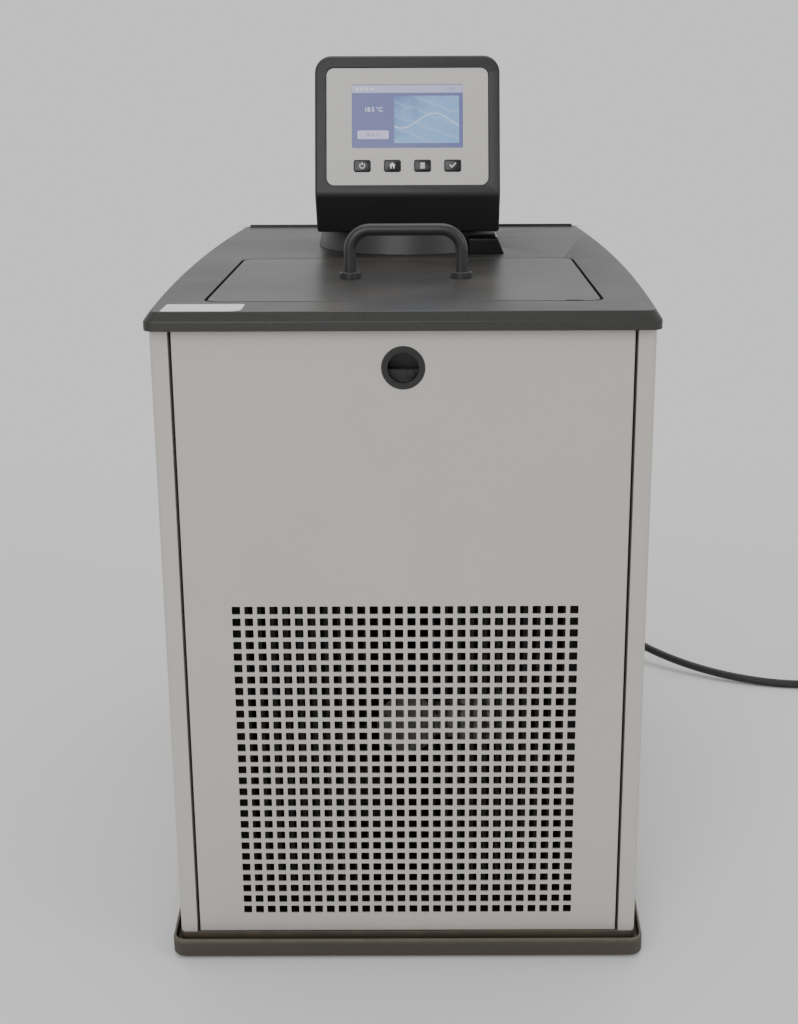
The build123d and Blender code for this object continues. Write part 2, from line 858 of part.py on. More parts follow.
# Turret skirt: a steep cone that stands on the deck
turret_axis = Axis((0, turret_y, 0), (0, 0, 1))
with BuildPart() as turret_skirt:
    with BuildSketch(upright(turret_y)):
        add(
            corners(
                [
                    (turret_base, deck_top),
                    (turret_top, turret_plate_top),
                    (ring_sleeve + rod_clearance, turret_plate_top),
                    (ring_sleeve + rod_clearance, turret_plate_top - turret_wall),
                    (turret_top - turret_wall, turret_plate_top - turret_wall),
                    (turret_base - turret_wall, deck_top),
                ]
            )
        )
    revolve(axis=turret_axis)

# Swivel ring: the bearing in the turret's top that the head turns in
with BuildPart() as swivel_ring:
    with BuildSketch(upright(turret_y)):
        bearing = spigot_radius + swivel_clearance
        add(
            corners(
                [
                    (bearing, turret_plate_top + ring_flange),
                    (ring_radius, turret_plate_top + ring_flange),
                    (ring_radius, turret_plate_top),
                    (ring_sleeve, turret_plate_top),
                    (ring_sleeve, turret_plate_top - ring_depth),
                    (bearing, turret_plate_top - ring_depth),
                ]
            )
        )
    revolve(axis=turret_axis)

# Side cover: a small cap with sloping ends, fitted to the foot of the turret
with BuildPart() as turret_side_cover:
    with BuildSketch(upright(cabinet_front + cover_setback, z=deck_top)):
        add(
            corners(
                [
                    (cover_left, 0),
                    (cover_right, 0),
                    (cover_right - cover_slope, cover_height),
                    (cover_left, cover_height),
                ]
            )
        )
    extrude(amount=-cover_depth)
    chamfer(turret_side_cover.faces().sort_by(Axis.Z)[-1].edges().sort_by(Axis.Y)[0], length=cover_edge)
    with Locations((0, turret_y, deck_top)):
        Cylinder(
            turret_base + pipe_clearance,
            cover_height,
            align=(Align.CENTER, Align.CENTER, Align.MIN),
            mode=Mode.SUBTRACT,
        )

# Control head: both housings come from one hollow form, cut along a plane behind the face
tilt = radians(face_tilt)
face_top_y = face_y + face_height * sin(tilt)
face_top_z = bend_z + face_height * cos(tilt)
head_rear_y = cabinet_front + head_rear_setback
face_plane = Plane(origin=(0, face_y, bend_z), x_dir=(1, 0, 0), z_dir=(0, -cos(tilt), sin(tilt)))


def head_form(wall=0.0):
    """The head's outer form, or its hollow when a wall is given: side profile across its width, round on top."""
    with BuildPart() as form:
        with BuildSketch(Plane.YZ.offset(wall - head_width / 2)) as profile:
            with BuildLine():
                Polyline(
                    (cabinet_front + chin_setback, head_bottom),
                    (face_y, bend_z),
                    (face_top_y, face_top_z),
                    (face_top_y + head_top_depth, face_top_z),
                    (head_rear_y, head_bottom + head_back_height),
                    (head_rear_y, head_bottom),
                    close=True,
                )
            make_face()
            along = profile.vertices().sort_by(Axis.X)
            fillet(along[0], radius=bend_round)
            for corner, corner_round in (
                ((cabinet_front + chin_setback, head_bottom), chin_round),
                ((face_top_y + head_top_depth, face_top_z), back_round),
                ((head_rear_y, head_bottom + head_back_height), back_round),
            ):
                fillet(profile.vertices().sort_by_distance(corner)[0], radius=corner_round)
            if wall:
                offset(amount=-wall, mode=Mode.REPLACE)
        extrude(amount=head_width - 2 * wall)
        with BuildSketch(upright(cabinet_front, z=head_bottom + wall)) as outline:
            Rectangle(
                head_width - 2 * wall,
                face_top_z - head_bottom - 2 * wall,
                align=(Align.CENTER, Align.MIN),
            )
            fillet(outline.vertices().group_by(Axis.Y)[-1], radius=head_corner - wall)
        extrude(amount=-cabinet_depth, mode=Mode.INTERSECT)
    return form.part


head_outer = head_form()
head_hollow = head_form(head_wall)
parting_plane = face_plane.offset(-head_parting)

# Front housing: the frame round the bezel, with the window behind it and the posts of the control board
with BuildPart() as head_front_housing:
    add(head_outer)
    face = head_front_housing.faces().filter_by(lambda f: f.normal_at().dot(face_plane.z_dir) > 0.9999)
    chamfer(face.edges(), length=head_edge)
    add(head_hollow, mode=Mode.SUBTRACT)
    split(bisect_by=parting_plane, keep=Keep.TOP)
    with BuildSketch(face_plane):
        with Locations((0, bezel_middle)):
            RectangleRounded(
                bezel_width + 2 * bezel_gap, bezel_height + 2 * bezel_gap, bezel_corner + bezel_gap
            )
    extrude(amount=-bezel_back, mode=Mode.SUBTRACT)
    with BuildSketch(face_plane):
        with Locations((0, bezel_middle)):
            Rectangle(
                display_width + 2 * display_frame + 2 * window_margin, bezel_height - 2 * window_margin
            )
    extrude(amount=-2 * head_wall, mode=Mode.SUBTRACT)
    with BuildSketch(face_plane.offset(-head_wall)):
        with Locations((0, bezel_middle)):
            with GridLocations(board_width - 2 * board_post, board_height - 2 * board_post, 2, 2):
                Circle(board_post)
    extrude(amount=head_wall - board_setback)

# Rear housing: the rest of the head, with the spigot that turns in the swivel ring
with BuildPart() as head_rear_housing:
    add(head_outer)
    add(head_hollow, mode=Mode.SUBTRACT)
    split(bisect_by=parting_plane, keep=Keep.BOTTOM)
    with BuildSketch(level(head_bottom + head_wall, turret_y)):
        Circle(spigot_radius)
    extrude(amount=turret_plate_top - ring_depth - head_bottom - head_wall)
    with BuildSketch(level(head_bottom + head_wall, turret_y)):
        Circle(spigot_radius - spigot_wall)
    extrude(amount=-head_wall - turret_height, mode=Mode.SUBTRACT)

# Bezel plate: with the display's window and a hole for each key
key_places = {
    "key_power": -1.5 * key_pitch,
    "key_home": -0.5 * key_pitch,
    "key_list": 0.5 * key_pitch,
    "key_set": 1.5 * key_pitch,
}
with BuildPart() as bezel_plate:
    with BuildSketch(face_plane.offset(-bezel_back)):
        with Locations((0, bezel_middle)):
            RectangleRounded(bezel_width, bezel_height, bezel_corner)
        with Locations((0, display_middle)):
            RectangleRounded(display_width, display_height, display_corner, mode=Mode.SUBTRACT)
        with Locations(*[(x, key_row) for x in key_places.values()]):
            RectangleRounded(key_width + 2 * key_gap, key_height + 2 * key_gap, key_corner, mode=Mode.SUBTRACT)
    extrude(amount=bezel_thickness)

# Display: the glass and module behind the bezel's window
with BuildPart() as display:
    with BuildSketch(face_plane.offset(-bezel_back)):
        with Locations((0, display_middle)):
            Rectangle(display_width + 2 * display_frame, display_height + 2 * display_frame)
    extrude(amount=-display_depth)

# Keys: caps that come up through the bezel, each with a flange behind it
keys = {}
for key_name, key_x in key_places.items():
    with BuildPart() as key:
        with BuildSketch(face_plane.offset(-bezel_back - key_play)):
            with Locations((key_x, key_row)):
                RectangleRounded(key_width, key_height, key_corner)
        extrude(amount=bezel_thickness + key_play + key_proud)
        chamfer(key.faces().sort_by(Axis.Y)[0].edges(), length=key_edge)
        with BuildSketch(face_plane.offset(-bezel_back - key_play)):
            with Locations((key_x, key_row)):
                RectangleRounded(
                    key_width + 2 * (key_gap + key_flange), key_height + 2 * (key_gap + key_flange), key_corner
                )
        extrude(amount=-key_flange_thickness)
    keys[key_name] = key

# Control board: on its posts behind the display, with a switch behind each key
switch_top = bezel_back + key_play + key_flange_thickness + key_travel + key_play
with BuildPart() as control_board:
    with BuildSketch(face_plane.offset(-board_setback)):
        with Locations((0, bezel_middle)):
            Rectangle(board_width, board_height)
    extrude(amount=-board_thickness)
    with BuildSketch(face_plane.offset(-board_setback)):
        with Locations(*[(x, key_row) for x in key_places.values()]):
            Rectangle(switch_size, switch_size)
    extrude(amount=board_setback - switch_top)
    with BuildSketch(face_plane.offset(-board_setback - board_thickness)):
        with Locations((-board_width / 4, bezel_middle), (board_width / 4, display_middle)):
            Rectangle(chip_size, chip_size)
    extrude(amount=-chip_height)

# Bridge plate: the steel disc in the deck that carries the pump, the heater and the probe
heater_legs = (-90 + heater_step // 2, 270 - heater_step // 2)


def on_ring(angle_degrees, z):
    """A point on the heater's ring round the pump."""
    turn = radians(angle_degrees)
    return (heater_ring * cos(turn), turret_y + heater_ring * sin(turn), z)


with BuildPart() as bridge_plate:
    with BuildSketch(level(deck_top, turret_y)):
        Circle(bridge_radius)
        Circle(shaft_radius + pipe_clearance, mode=Mode.SUBTRACT)
        with Locations((probe_x, -probe_setback)):
            Circle(probe_radius + rod_clearance, mode=Mode.SUBTRACT)
    extrude(amount=-bridge_plate_thickness)

# Pump motor: stands on the bridge plate inside the head
with BuildPart() as pump_motor:
    with BuildSketch(upright(turret_y)):
        add(
            corners(
                [
                    (shaft_radius + shaft_clearance, deck_top),
                    (motor_foot, deck_top),
                    (motor_foot, deck_top + motor_foot_height),
                    (motor_radius, deck_top + motor_foot_height),
                    (motor_radius, deck_top + motor_height - motor_edge),
                    (motor_radius - motor_edge, deck_top + motor_height),
                    (0, deck_top + motor_height),
                    (0, deck_top + shaft_in_motor + pipe_clearance),
                    (shaft_radius + shaft_clearance, deck_top + shaft_in_motor + pipe_clearance),
                ]
            )
        )
    revolve(axis=turret_axis)

# Pump housing: a drum with its inlet below and an outlet nozzle to the rear, under a slotted column
column_top = deck_top - bridge_plate_thickness
nozzle_end = turret_y + housing_radius + nozzle_length
with BuildPart() as pump_housing:
    with BuildSketch(level(housing_top, turret_y)):
        Circle(column_radius)
        Circle(column_radius - column_wall, mode=Mode.SUBTRACT)
    extrude(amount=column_top - housing_top)
    with BuildSketch(upright(turret_y - column_radius, z=(housing_top + column_top) / 2)):
        SlotOverall(column_top - housing_top - 2 * column_radius, column_radius, rotation=90)
    extrude(amount=-2 * column_radius, mode=Mode.SUBTRACT)
    with BuildSketch(level(housing_bottom, turret_y)):
        Circle(housing_radius)
    extrude(amount=housing_height)
    with BuildSketch(upright(turret_y, z=outlet_z)):
        Circle(hose_radius)
    extrude(amount=turret_y - nozzle_end)
    with BuildSketch(level(housing_bottom + housing_wall, turret_y)):
        Circle(housing_radius - housing_wall)
    extrude(amount=housing_height - 2 * housing_wall, mode=Mode.SUBTRACT)
    with BuildSketch(upright(turret_y, z=outlet_z)):
        Circle(hose_bore)
    extrude(amount=turret_y - nozzle_end, mode=Mode.SUBTRACT)
    with BuildSketch(level(housing_bottom, turret_y)):
        Circle(pump_inlet)
    extrude(amount=housing_wall, mode=Mode.SUBTRACT)
    with BuildSketch(level(housing_top, turret_y)):
        Circle(shaft_radius + pipe_clearance)
    extrude(amount=-housing_wall, mode=Mode.SUBTRACT)

# Pump rotor: the motor's shaft with the impeller at its lower end
impeller_bottom = housing_bottom + housing_wall + impeller_lift
with BuildPart() as pump_rotor:
    with BuildSketch(level(impeller_bottom, turret_y)):
        Circle(impeller_radius)
    extrude(amount=impeller_disc)
    with BuildSketch(level(impeller_bottom, turret_y)):
        Circle(impeller_hub)
        with PolarLocations(0, vane_count):
            with Locations((impeller_radius / 2, 0)):
                Rectangle(impeller_radius - vane_thickness, vane_thickness)
    extrude(amount=impeller_disc + vane_height)
    with BuildSketch(level(impeller_bottom, turret_y)):
        Circle(shaft_radius)
    extrude(amount=deck_top + shaft_in_motor - impeller_bottom)

# Heater: a bent rod that hangs from the bridge plate and loops round the pump column
ring_points = [on_ring(a, heater_z) for a in range(heater_legs[0], heater_legs[1] + 1, heater_step)]
with BuildPart() as heater_coil:
    add(
        pipe(
            [on_ring(heater_legs[0], column_top), *ring_points, on_ring(heater_legs[1], column_top)],
            heater_bend,
            heater_radius,
        )
    )

# Temperature probe: a rod that hangs from the bridge plate
with BuildPart() as temperature_probe:
    with BuildSketch(level(deck_top, turret_y - probe_setback, probe_x)):
        Circle(probe_radius)
    extrude(amount=probe_bottom - deck_top)

# Evaporator: two falling loops of pipe against the walls at the rear of the bath
evaporator_front_y = cabinet_front + evaporator_front_setback
evaporator_points = [
    (evaporator_left, foam_rear, evaporator_exit_z),
    (evaporator_left, evaporator_rear_y, evaporator_exit_z),
    (evaporator_left, evaporator_rear_y, evaporator_z),
    (evaporator_left, evaporator_front_y, evaporator_z - evaporator_fall),
    (evaporator_right, evaporator_front_y, evaporator_z - 2 * evaporator_fall),
    (evaporator_right, evaporator_rear_y, evaporator_z - 3 * evaporator_fall),
    (evaporator_left, evaporator_rear_y, evaporator_z - 4 * evaporator_fall - evaporator_turn_step),
    (evaporator_left, evaporator_front_y, evaporator_z - 5 * evaporator_fall - evaporator_turn_step),
    (evaporator_riser, evaporator_front_y, evaporator_z - 6 * evaporator_fall - evaporator_turn_step),
    (evaporator_riser, evaporator_rear_y, evaporator_z - 7 * evaporator_fall - evaporator_turn_step),
    (evaporator_riser, evaporator_rear_y, evaporator_exit_z),
    (evaporator_riser, foam_rear, evaporator_exit_z),
]
with BuildPart() as evaporator_coil:
    add(pipe(evaporator_points, evaporator_bend, evaporator_radius))

# Supply and return: tubes between the pump or the bath and the fittings on the rear panel
socket_front = pan_back - socket_length
with BuildPart() as supply_tube:
    add(
        pipe(
            [
                (0, nozzle_end, outlet_z),
                (0, nozzle_end + hose_bend + nozzle_length, outlet_z),
                (0, nozzle_end + hose_bend + nozzle_length, fitting_z),
                (0, socket_front, fitting_z),
            ],
            hose_bend,
            hose_radius,
            hose_bore,
        )
    )

with BuildPart() as return_tube:
    with BuildSketch(upright(tank_rear - return_reach, return_x, fitting_z)):
        Circle(hose_radius)
        Circle(hose_bore, mode=Mode.SUBTRACT)
    extrude(amount=tank_rear - return_reach - socket_front)

with BuildPart() as drain_tube:
    add(
        pipe(
            [
                (drain_x, drain_y, tank_floor - tank_wall),
                (drain_x, drain_y, drain_z),
                (drain_x, socket_front, drain_z),
            ],
            2 * hose_bend,
            hose_radius,
            hose_bore,
        )
    )


def hose_fitting(x, z, length):
    """A fitting through the rear panel: socket inside, nut against the panel, and a bored spout behind it."""
    with BuildPart() as fitting:
        with BuildSketch(upright(socket_front, x, z)):
            Circle(socket_radius)
        extrude(amount=socket_front - cabinet_rear)
        with BuildSketch(upright(cabinet_rear, x, z)):
            RegularPolygon(nut_radius, 6)
        extrude(amount=-nut_length)
        with BuildSketch(upright(cabinet_rear + nut_length, x, z)):
            Circle(barb_radius)
        extrude(amount=nut_length - length)
        chamfer(fitting.faces().sort_by(Axis.Y)[-1].edges(), length=barb_edge)
        with BuildSketch(upright(cabinet_rear + length, x, z)):
            Circle(barb_bore)
        extrude(amount=length + sheet + socket_length, mode=Mode.SUBTRACT)
    return fitting.part


with BuildPart() as hose_fittings:
    add(hose_fitting(0, fitting_z, fitting_length))
    add(hose_fitting(return_x, fitting_z, fitting_length))

with BuildPart() as drain_fitting:
    add(hose_fitting(drain_x, drain_z, drain_length))

# Drain plug: a rubber stopper in the drain's spout
with BuildPart() as drain_plug:
    with BuildSketch(upright(cabinet_rear + drain_length, drain_x, drain_z)):
        Circle(plug_head)
    extrude(amount=-plug_head_length)
    with BuildSketch(upright(cabinet_rear + drain_length, drain_x, drain_z)):
        Circle(barb_bore - rod_clearance)
    extrude(amount=drain_length - nut_length)

# Condenser: a finned core between two header bars and two end plates that stand on the pan
core_front = cabinet_front + core_setback
with BuildPart() as condenser:
    with BuildSketch(upright(core_front, z=grille_z)):
        Rectangle(core_width, core_height)
        fin_pitch = (core_width - 2 * core_header + core_fin) / core_fins
        with GridLocations(fin_pitch, 0, core_fins, 1):
            Rectangle(fin_pitch - core_fin, core_height - 2 * core_header, mode=Mode.SUBTRACT)
    extrude(amount=-core_depth)
    with Locations(*[(x, core_front, pan_top) for x in (-core_width / 2, core_width / 2)]):
        Box(
            end_plate,
            core_depth,
            grille_z + core_height / 2 - pan_top,
            align=(Align.CENTER, Align.MIN, Align.MIN),
        )

# Fan shroud: a plate on the back of the condenser with a ring round the fan and a bar across it for the motor
with BuildPart() as fan_shroud:
    with BuildSketch(upright(core_back, z=grille_z)):
        Rectangle(core_width, core_height)
        Circle(fan_opening, mode=Mode.SUBTRACT)
    extrude(amount=-shroud_sheet)
    with BuildSketch(upright(core_back + shroud_sheet, z=grille_z)):
        Circle(fan_opening + shroud_ring_wall)
        Circle(fan_opening, mode=Mode.SUBTRACT)
    extrude(amount=-shroud_ring)
    with BuildSketch(upright(bracket_front, z=grille_z)):
        Rectangle(2 * (fan_opening + shroud_ring_wall), bracket_width)
        Circle(fan_shaft + pipe_clearance, mode=Mode.SUBTRACT)
    extrude(amount=-shroud_sheet)

# Fan motor: a can on the bracket
with BuildPart() as fan_motor:
    with BuildSketch(upright(motor_front, z=grille_z)):
        Circle(fan_motor_radius)
    extrude(amount=-fan_motor_length)
    chamfer(fan_motor.faces().sort_by(Axis.Y)[-1].edges(), length=motor_edge)
    with BuildSketch(upright(motor_front, z=grille_z)):
        Circle(fan_shaft + shaft_clearance)
    extrude(amount=-fan_shaft_length, mode=Mode.SUBTRACT)

# Fan rotor: hub, shaft and twisted blades
hub_middle = hub_front + fan_hub_length / 2
with BuildPart() as fan_rotor:
    with BuildSketch(upright(hub_front, z=grille_z)):
        Circle(fan_hub)
    extrude(amount=-fan_hub_length)
    with BuildSketch(upright(hub_front + fan_hub_length, z=grille_z)):
        Circle(fan_shaft)
    extrude(amount=hub_front + fan_hub_length + fan_shaft_gap - motor_front - fan_shaft_length)
    for blade in range(blade_count):
        turn = radians(360 / blade_count * blade)
        outward = Vector(cos(turn), 0, sin(turn))
        across = Vector(-sin(turn), 0, cos(turn))
        for reach, chord, pitch in (
            (fan_hub - blade_thickness, blade_root, blade_root_pitch),
            (fan_radius, blade_tip, blade_tip_pitch),
        ):
            chord_line = across * cos(radians(pitch)) + Vector(0, sin(radians(pitch)), 0)
            middle = Vector(0, hub_middle, grille_z) + outward * reach
            with BuildSketch(Plane(origin=middle, x_dir=chord_line, z_dir=outward)):
                Rectangle(chord, blade_thickness)
        loft(ruled=True)

# Compressor: a welded can on a foot plate
plate_bottom = pan_top + grommet_height
with BuildPart() as compressor:
    with BuildSketch(level(plate_bottom, compressor_y, compressor_x)):
        RectangleRounded(2 * (grommet_x + plate_margin), 2 * (grommet_y + plate_margin), plate_margin)
        with GridLocations(2 * grommet_x, 2 * grommet_y, 2, 2):
            Circle(grommet_radius / 2, mode=Mode.SUBTRACT)
    extrude(amount=compressor_plate)
    with BuildSketch(level(plate_bottom + compressor_plate, compressor_y, compressor_x)):
        Circle(compressor_radius)
    extrude(amount=compressor_height)
    fillet(compressor.faces().sort_by(Axis.Z)[-1].edges(), radius=compressor_round)
    with BuildSketch(level(plate_bottom + compressor_height / 2, compressor_y, compressor_x)):
        Circle(compressor_seam)
    extrude(amount=compressor_plate)

# Compressor grommets: four rubber mounts between the pan and the foot plate
with BuildPart() as compressor_grommets:
    with BuildSketch(level(pan_top, compressor_y, compressor_x)):
        with GridLocations(2 * grommet_x, 2 * grommet_y, 2, 2):
            Circle(grommet_radius)
    extrude(amount=grommet_height)
    with BuildSketch(level(plate_bottom, compressor_y, compressor_x)):
        with GridLocations(2 * grommet_x, 2 * grommet_y, 2, 2):
            Circle(grommet_radius / 2 - rod_clearance)
    extrude(amount=compressor_plate)

# Refrigerant lines: from the compressor to the condenser, on through the drier to the evaporator, and back
core_top = grille_z + core_height / 2
riser_y = foam_rear + 2 * line_bend
compressor_top = plate_bottom + compressor_plate + compressor_height
line_z = compressor_top + 3 * line_bend
inlet_x = core_width / 2 - core_header
drier_front = core_back + shroud_ring + 2 * line_bend
with BuildPart() as filter_drier:
    with BuildSketch(upright(drier_front, drier_x, drier_z)):
        Circle(drier_radius)
    extrude(amount=-drier_length)
    chamfer(filter_drier.edges().filter_by(GeomType.CIRCLE), length=drier_radius / 2)

with BuildPart() as refrigerant_lines:
    add(
        pipe(
            [
                (compressor_x, compressor_y - compressor_radius / 2, compressor_top),
                (compressor_x, compressor_y - compressor_radius / 2, line_z),
                (inlet_x, compressor_y - compressor_radius / 2, line_z),
                (inlet_x, core_back + shroud_sheet, line_z),
            ],
            line_bend,
            line_radius,
        )
    )
    with BuildSketch(upright(core_back + shroud_sheet, drier_x, drier_z)):
        Circle(line_radius)
    extrude(amount=core_back + shroud_sheet - drier_front)
    add(
        pipe(
            [
                (drier_x, drier_front + drier_length, drier_z),
                (drier_x, riser_y, drier_z),
                (drier_x, riser_y, evaporator_exit_z),
                (evaporator_left, riser_y, evaporator_exit_z),
                (evaporator_left, foam_rear, evaporator_exit_z),
            ],
            line_bend / 2,
            line_radius,
        )
    )

suction_z = plate_bottom + compressor_height * 0.75
with BuildPart() as suction_line:
    add(
        pipe(
            [
                (evaporator_riser, foam_rear, evaporator_exit_z),
                (evaporator_riser, riser_y, evaporator_exit_z),
                (evaporator_riser, riser_y, suction_z),
                (compressor_x, riser_y, suction_z),
                (compressor_x, compressor_y + compressor_radius, suction_z),
            ],
            line_bend,
            suction_radius,
        )
    )

# Power box: closed box on the rear panel behind the cord entry and the breaker
with BuildPart() as power_box:
    with Locations((power_x, pan_back, power_z)):
        Box(power_width, power_depth, power_height, align=(Align.CENTER, Align.MAX, Align.CENTER))
    with Locations((gland_x, pan_back, gland_z)):
        Box(
            4 * gland_tip,
            power_depth - sheet,
            4 * gland_tip,
            align=(Align.CENTER, Align.MAX, Align.CENTER),
            mode=Mode.SUBTRACT,
        )
    with Locations((breaker_x, pan_back, breaker_z)):
        Box(
            breaker_width + 2 * pipe_clearance,
            power_depth - sheet,
            breaker_height + 2 * pipe_clearance,
            align=(Align.CENTER, Align.MAX, Align.CENTER),
            mode=Mode.SUBTRACT,
        )

# Circuit breaker: a flanged body with a well for the rocker
well_width = breaker_width - 2 * breaker_wall
well_height = breaker_height - 2 * breaker_wall
rocker_axis_y = cabinet_rear + breaker_flange - rocker_setback
with BuildPart() as circuit_breaker:
    with BuildSketch(upright(pan_back - breaker_inside, breaker_x, breaker_z)):
        Rectangle(breaker_width - rod_clearance, breaker_height - rod_clearance)
    extrude(amount=-breaker_inside - sheet)
    with BuildSketch(upright(cabinet_rear, breaker_x, breaker_z)):
        RectangleRounded(breaker_width + 2 * breaker_wall, breaker_height + 2 * breaker_wall, breaker_wall)
    extrude(amount=-breaker_flange)
    with BuildSketch(upright(cabinet_rear + breaker_flange, breaker_x, breaker_z)):
        Rectangle(well_width, well_height)
    extrude(amount=breaker_inside / 2, mode=Mode.SUBTRACT)
    with BuildSketch(Plane.YZ.offset(breaker_x)):
        with Locations((rocker_axis_y, breaker_z)):
            Circle(rocker_pin + shaft_clearance)
    extrude(amount=well_width / 2 + rocker_pin_length + rocker_gap, both=True, mode=Mode.SUBTRACT)

# Breaker rocker: swings on two pins in the well, and rests tilted at the end of its swing
rocker_radius = well_height / 2 - rocker_gap
rocker_half = well_width / 2 - rocker_gap
with BuildPart() as breaker_rocker:
    with BuildSketch(Plane.YZ.offset(breaker_x)):
        with Locations(Location((rocker_axis_y, breaker_z, 0), (0, 0, rocker_swing))):
            Circle(rocker_radius)
            with Locations((-rocker_back, 0)):
                Rectangle(
                    2 * rocker_radius, 2 * rocker_radius, align=(Align.MAX, Align.CENTER), mode=Mode.SUBTRACT
                )
            with Locations((rocker_reach, 0)):
                Rectangle(
                    2 * rocker_radius, 2 * rocker_radius, align=(Align.MIN, Align.CENTER), mode=Mode.SUBTRACT
                )
    extrude(amount=rocker_half, both=True)
    with BuildSketch(Plane.YZ.offset(breaker_x)):
        with Locations((rocker_axis_y, breaker_z)):
            Circle(rocker_pin)
    extrude(amount=well_width / 2 + rocker_pin_length, both=True)

# Cord gland: a tapered strain relief through the rear panel
with BuildPart() as cord_gland:
    with BuildSketch(Plane(origin=(gland_x, 0, gland_z))):
        add(
            corners(
                [
                    (0, pan_back - sheet),
                    (gland_base, pan_back - sheet),
                    (gland_base, cabinet_rear),
                    (gland_flange, cabinet_rear),
                    (gland_flange, cabinet_rear + gland_flange_length),
                    (gland_base, cabinet_rear + gland_flange_length),
                    (gland_tip, cabinet_rear + gland_length),
                    (0, cabinet_rear + gland_length),
                ]
            )
        )
    revolve(axis=Axis((gland_x, 0, gland_z), (0, 1, 0)))


def route_turns(points):
    """The turn in degrees at each inner point of a route."""
    legs = [Vector(*b) - Vector(*a) for a, b in zip(points, points[1:])]
    return [a.get_angle(b) for a, b in zip(legs, legs[1:])]


def route_radii(points):
    """The bend at each inner point: 0.45 of the shorter run beside it over the tangent of half the turn."""
    runs = [(Vector(*b) - Vector(*a)).length for a, b in zip(points, points[1:])]
    return [
        0.45 * min(a, b) / tan(radians(turn) / 2) for a, b, turn in zip(runs, runs[1:], route_turns(points))
    ]


# Mains cord: the stretch between the gland and the coil
cord_radii = route_radii(cord_route)
with BuildPart() as mains_cord:
    with BuildLine() as cord_line:
        FilletPolyline(*cord_route, radius=cord_radii)
    with BuildSketch(Plane(origin=cord_line.line @ 0, z_dir=cord_line.line % 0)):
        Circle(cord_radius)
    sweep(path=cord_line.line)
print("cord radii", [round(r, 1) for r in cord_radii])

# Cord coil: the outer shape of the put-away turns, with a straight end to the route and one to the plug
plug_axis_z = plug_width / 2
plug_x = coil_x + coil_outer - cord_radius
neck_start = coil_y + coil_lead
with BuildPart() as cord_coil:
    with BuildSketch(level(coil_lift, coil_y, coil_x)):
        Circle(coil_outer)
        Circle(coil_inner, mode=Mode.SUBTRACT)
    extrude(amount=coil_height)
    fillet(cord_coil.edges().filter_by(GeomType.CIRCLE), radius=cord_radius * 0.9)
    with BuildSketch(Plane(origin=cord_route[-1], z_dir=(1, 0, 0))):
        Circle(cord_radius)
    extrude(amount=coil_lead)
    with BuildSketch(upright(neck_start, plug_x, plug_axis_z)):
        Circle(cord_radius)
    extrude(amount=coil_lead)

# Cord tie: a band round the turns
with BuildPart() as cord_tie:
    with BuildSketch(Plane(origin=(coil_x, coil_y, coil_lift), x_dir=(-1, 0, 0), z_dir=(0, 1, 0))):
        with Locations(((coil_inner + coil_outer) / 2, coil_height / 2)):
            tie_room = 2 * (rod_clearance + tie_thickness)
            Rectangle(coil_outer - coil_inner + tie_room, coil_height + tie_room)
            Rectangle(
                coil_outer - coil_inner + 2 * rod_clearance,
                coil_height + 2 * rod_clearance,
                mode=Mode.SUBTRACT,
            )
    revolve(axis=Axis((coil_x, coil_y, 0), (0, 0, 1)), revolution_arc=tie_arc)

# Cord plug: a moulded three-pin plug that lies beside the coil
plug_face_y = neck_start + plug_neck + plug_length
with BuildPart() as cord_plug:
    with BuildSketch(upright(neck_start, plug_x, plug_axis_z)):
        Circle(plug_neck_tip)
    with BuildSketch(upright(neck_start + plug_neck, plug_x, plug_axis_z)):
        Circle(plug_neck_base)
    loft()
    with BuildSketch(upright(neck_start + plug_neck, plug_x, plug_axis_z)):
        RectangleRounded(plug_width, plug_width, plug_edge)
    extrude(amount=-plug_length)
    with BuildSketch(upright(plug_face_y, plug_x, plug_axis_z)):
        with Locations((-blade_gap / 2, plug_blade_rise), (blade_gap / 2, plug_blade_rise)):
            Rectangle(plug_blade_thickness, plug_blade_width)
    extrude(amount=-plug_blade_length)
    with BuildSketch(upright(plug_face_y, plug_x, plug_axis_z - ground_pin_drop)):
        Circle(ground_pin)
    extrude(amount=-ground_pin_length)

pieces = {
    "base_tray": base_tray,
    "feet": feet,
    "chassis_frame": chassis_frame,
    "panel_magnets": panel_magnets,
    "side_panel_left": side_panel_left,
    "side_panel_right": side_panel_right,
    "front_panel": front_panel,
    "finger_pull": finger_pull,
    "rear_panel": rear_panel,
    "panel_screws": panel_screws,
    "top_deck": top_deck,
    "lid": lid,
    "lid_seal": lid_seal,
    "lid_handle": lid_handle,
    "handle_collars": handle_collars,
    "handle_screws": handle_screws,
    "tank_insulation": tank_insulation,
    "bath_tank": bath_tank,
    "turret_skirt": turret_skirt,
    "swivel_ring": swivel_ring,
    "turret_side_cover": turret_side_cover,
    "head_front_housing": head_front_housing,
    "head_rear_housing": head_rear_housing,
    "bezel_plate": bezel_plate,
    "display": display,
    **keys,
    "control_board": control_board,
    "bridge_plate": bridge_plate,
    "pump_motor": pump_motor,
    "pump_housing": pump_housing,
    "pump_rotor": pump_rotor,
    "heater_coil": heater_coil,
    "temperature_probe": temperature_probe,
    "evaporator_coil": evaporator_coil,
    "supply_tube": supply_tube,
    "return_tube": return_tube,
    "drain_tube": drain_tube,
    "hose_fittings": hose_fittings,
    "drain_fitting": drain_fitting,
    "drain_plug": drain_plug,
    "condenser": condenser,
    "fan_shroud": fan_shroud,
    "fan_motor": fan_motor,
    "fan_rotor": fan_rotor,
    "compressor": compressor,
    "compressor_grommets": compressor_grommets,
    "filter_drier": filter_drier,
    "refrigerant_lines": refrigerant_lines,
    "suction_line": suction_line,
    "power_box": power_box,
    "circuit_breaker": circuit_breaker,
    "breaker_rocker": breaker_rocker,
    "cord_gland": cord_gland,
    "mains_cord": mains_cord,
    "cord_coil": cord_coil,
    "cord_tie": cord_tie,
    "cord_plug": cord_plug,
}
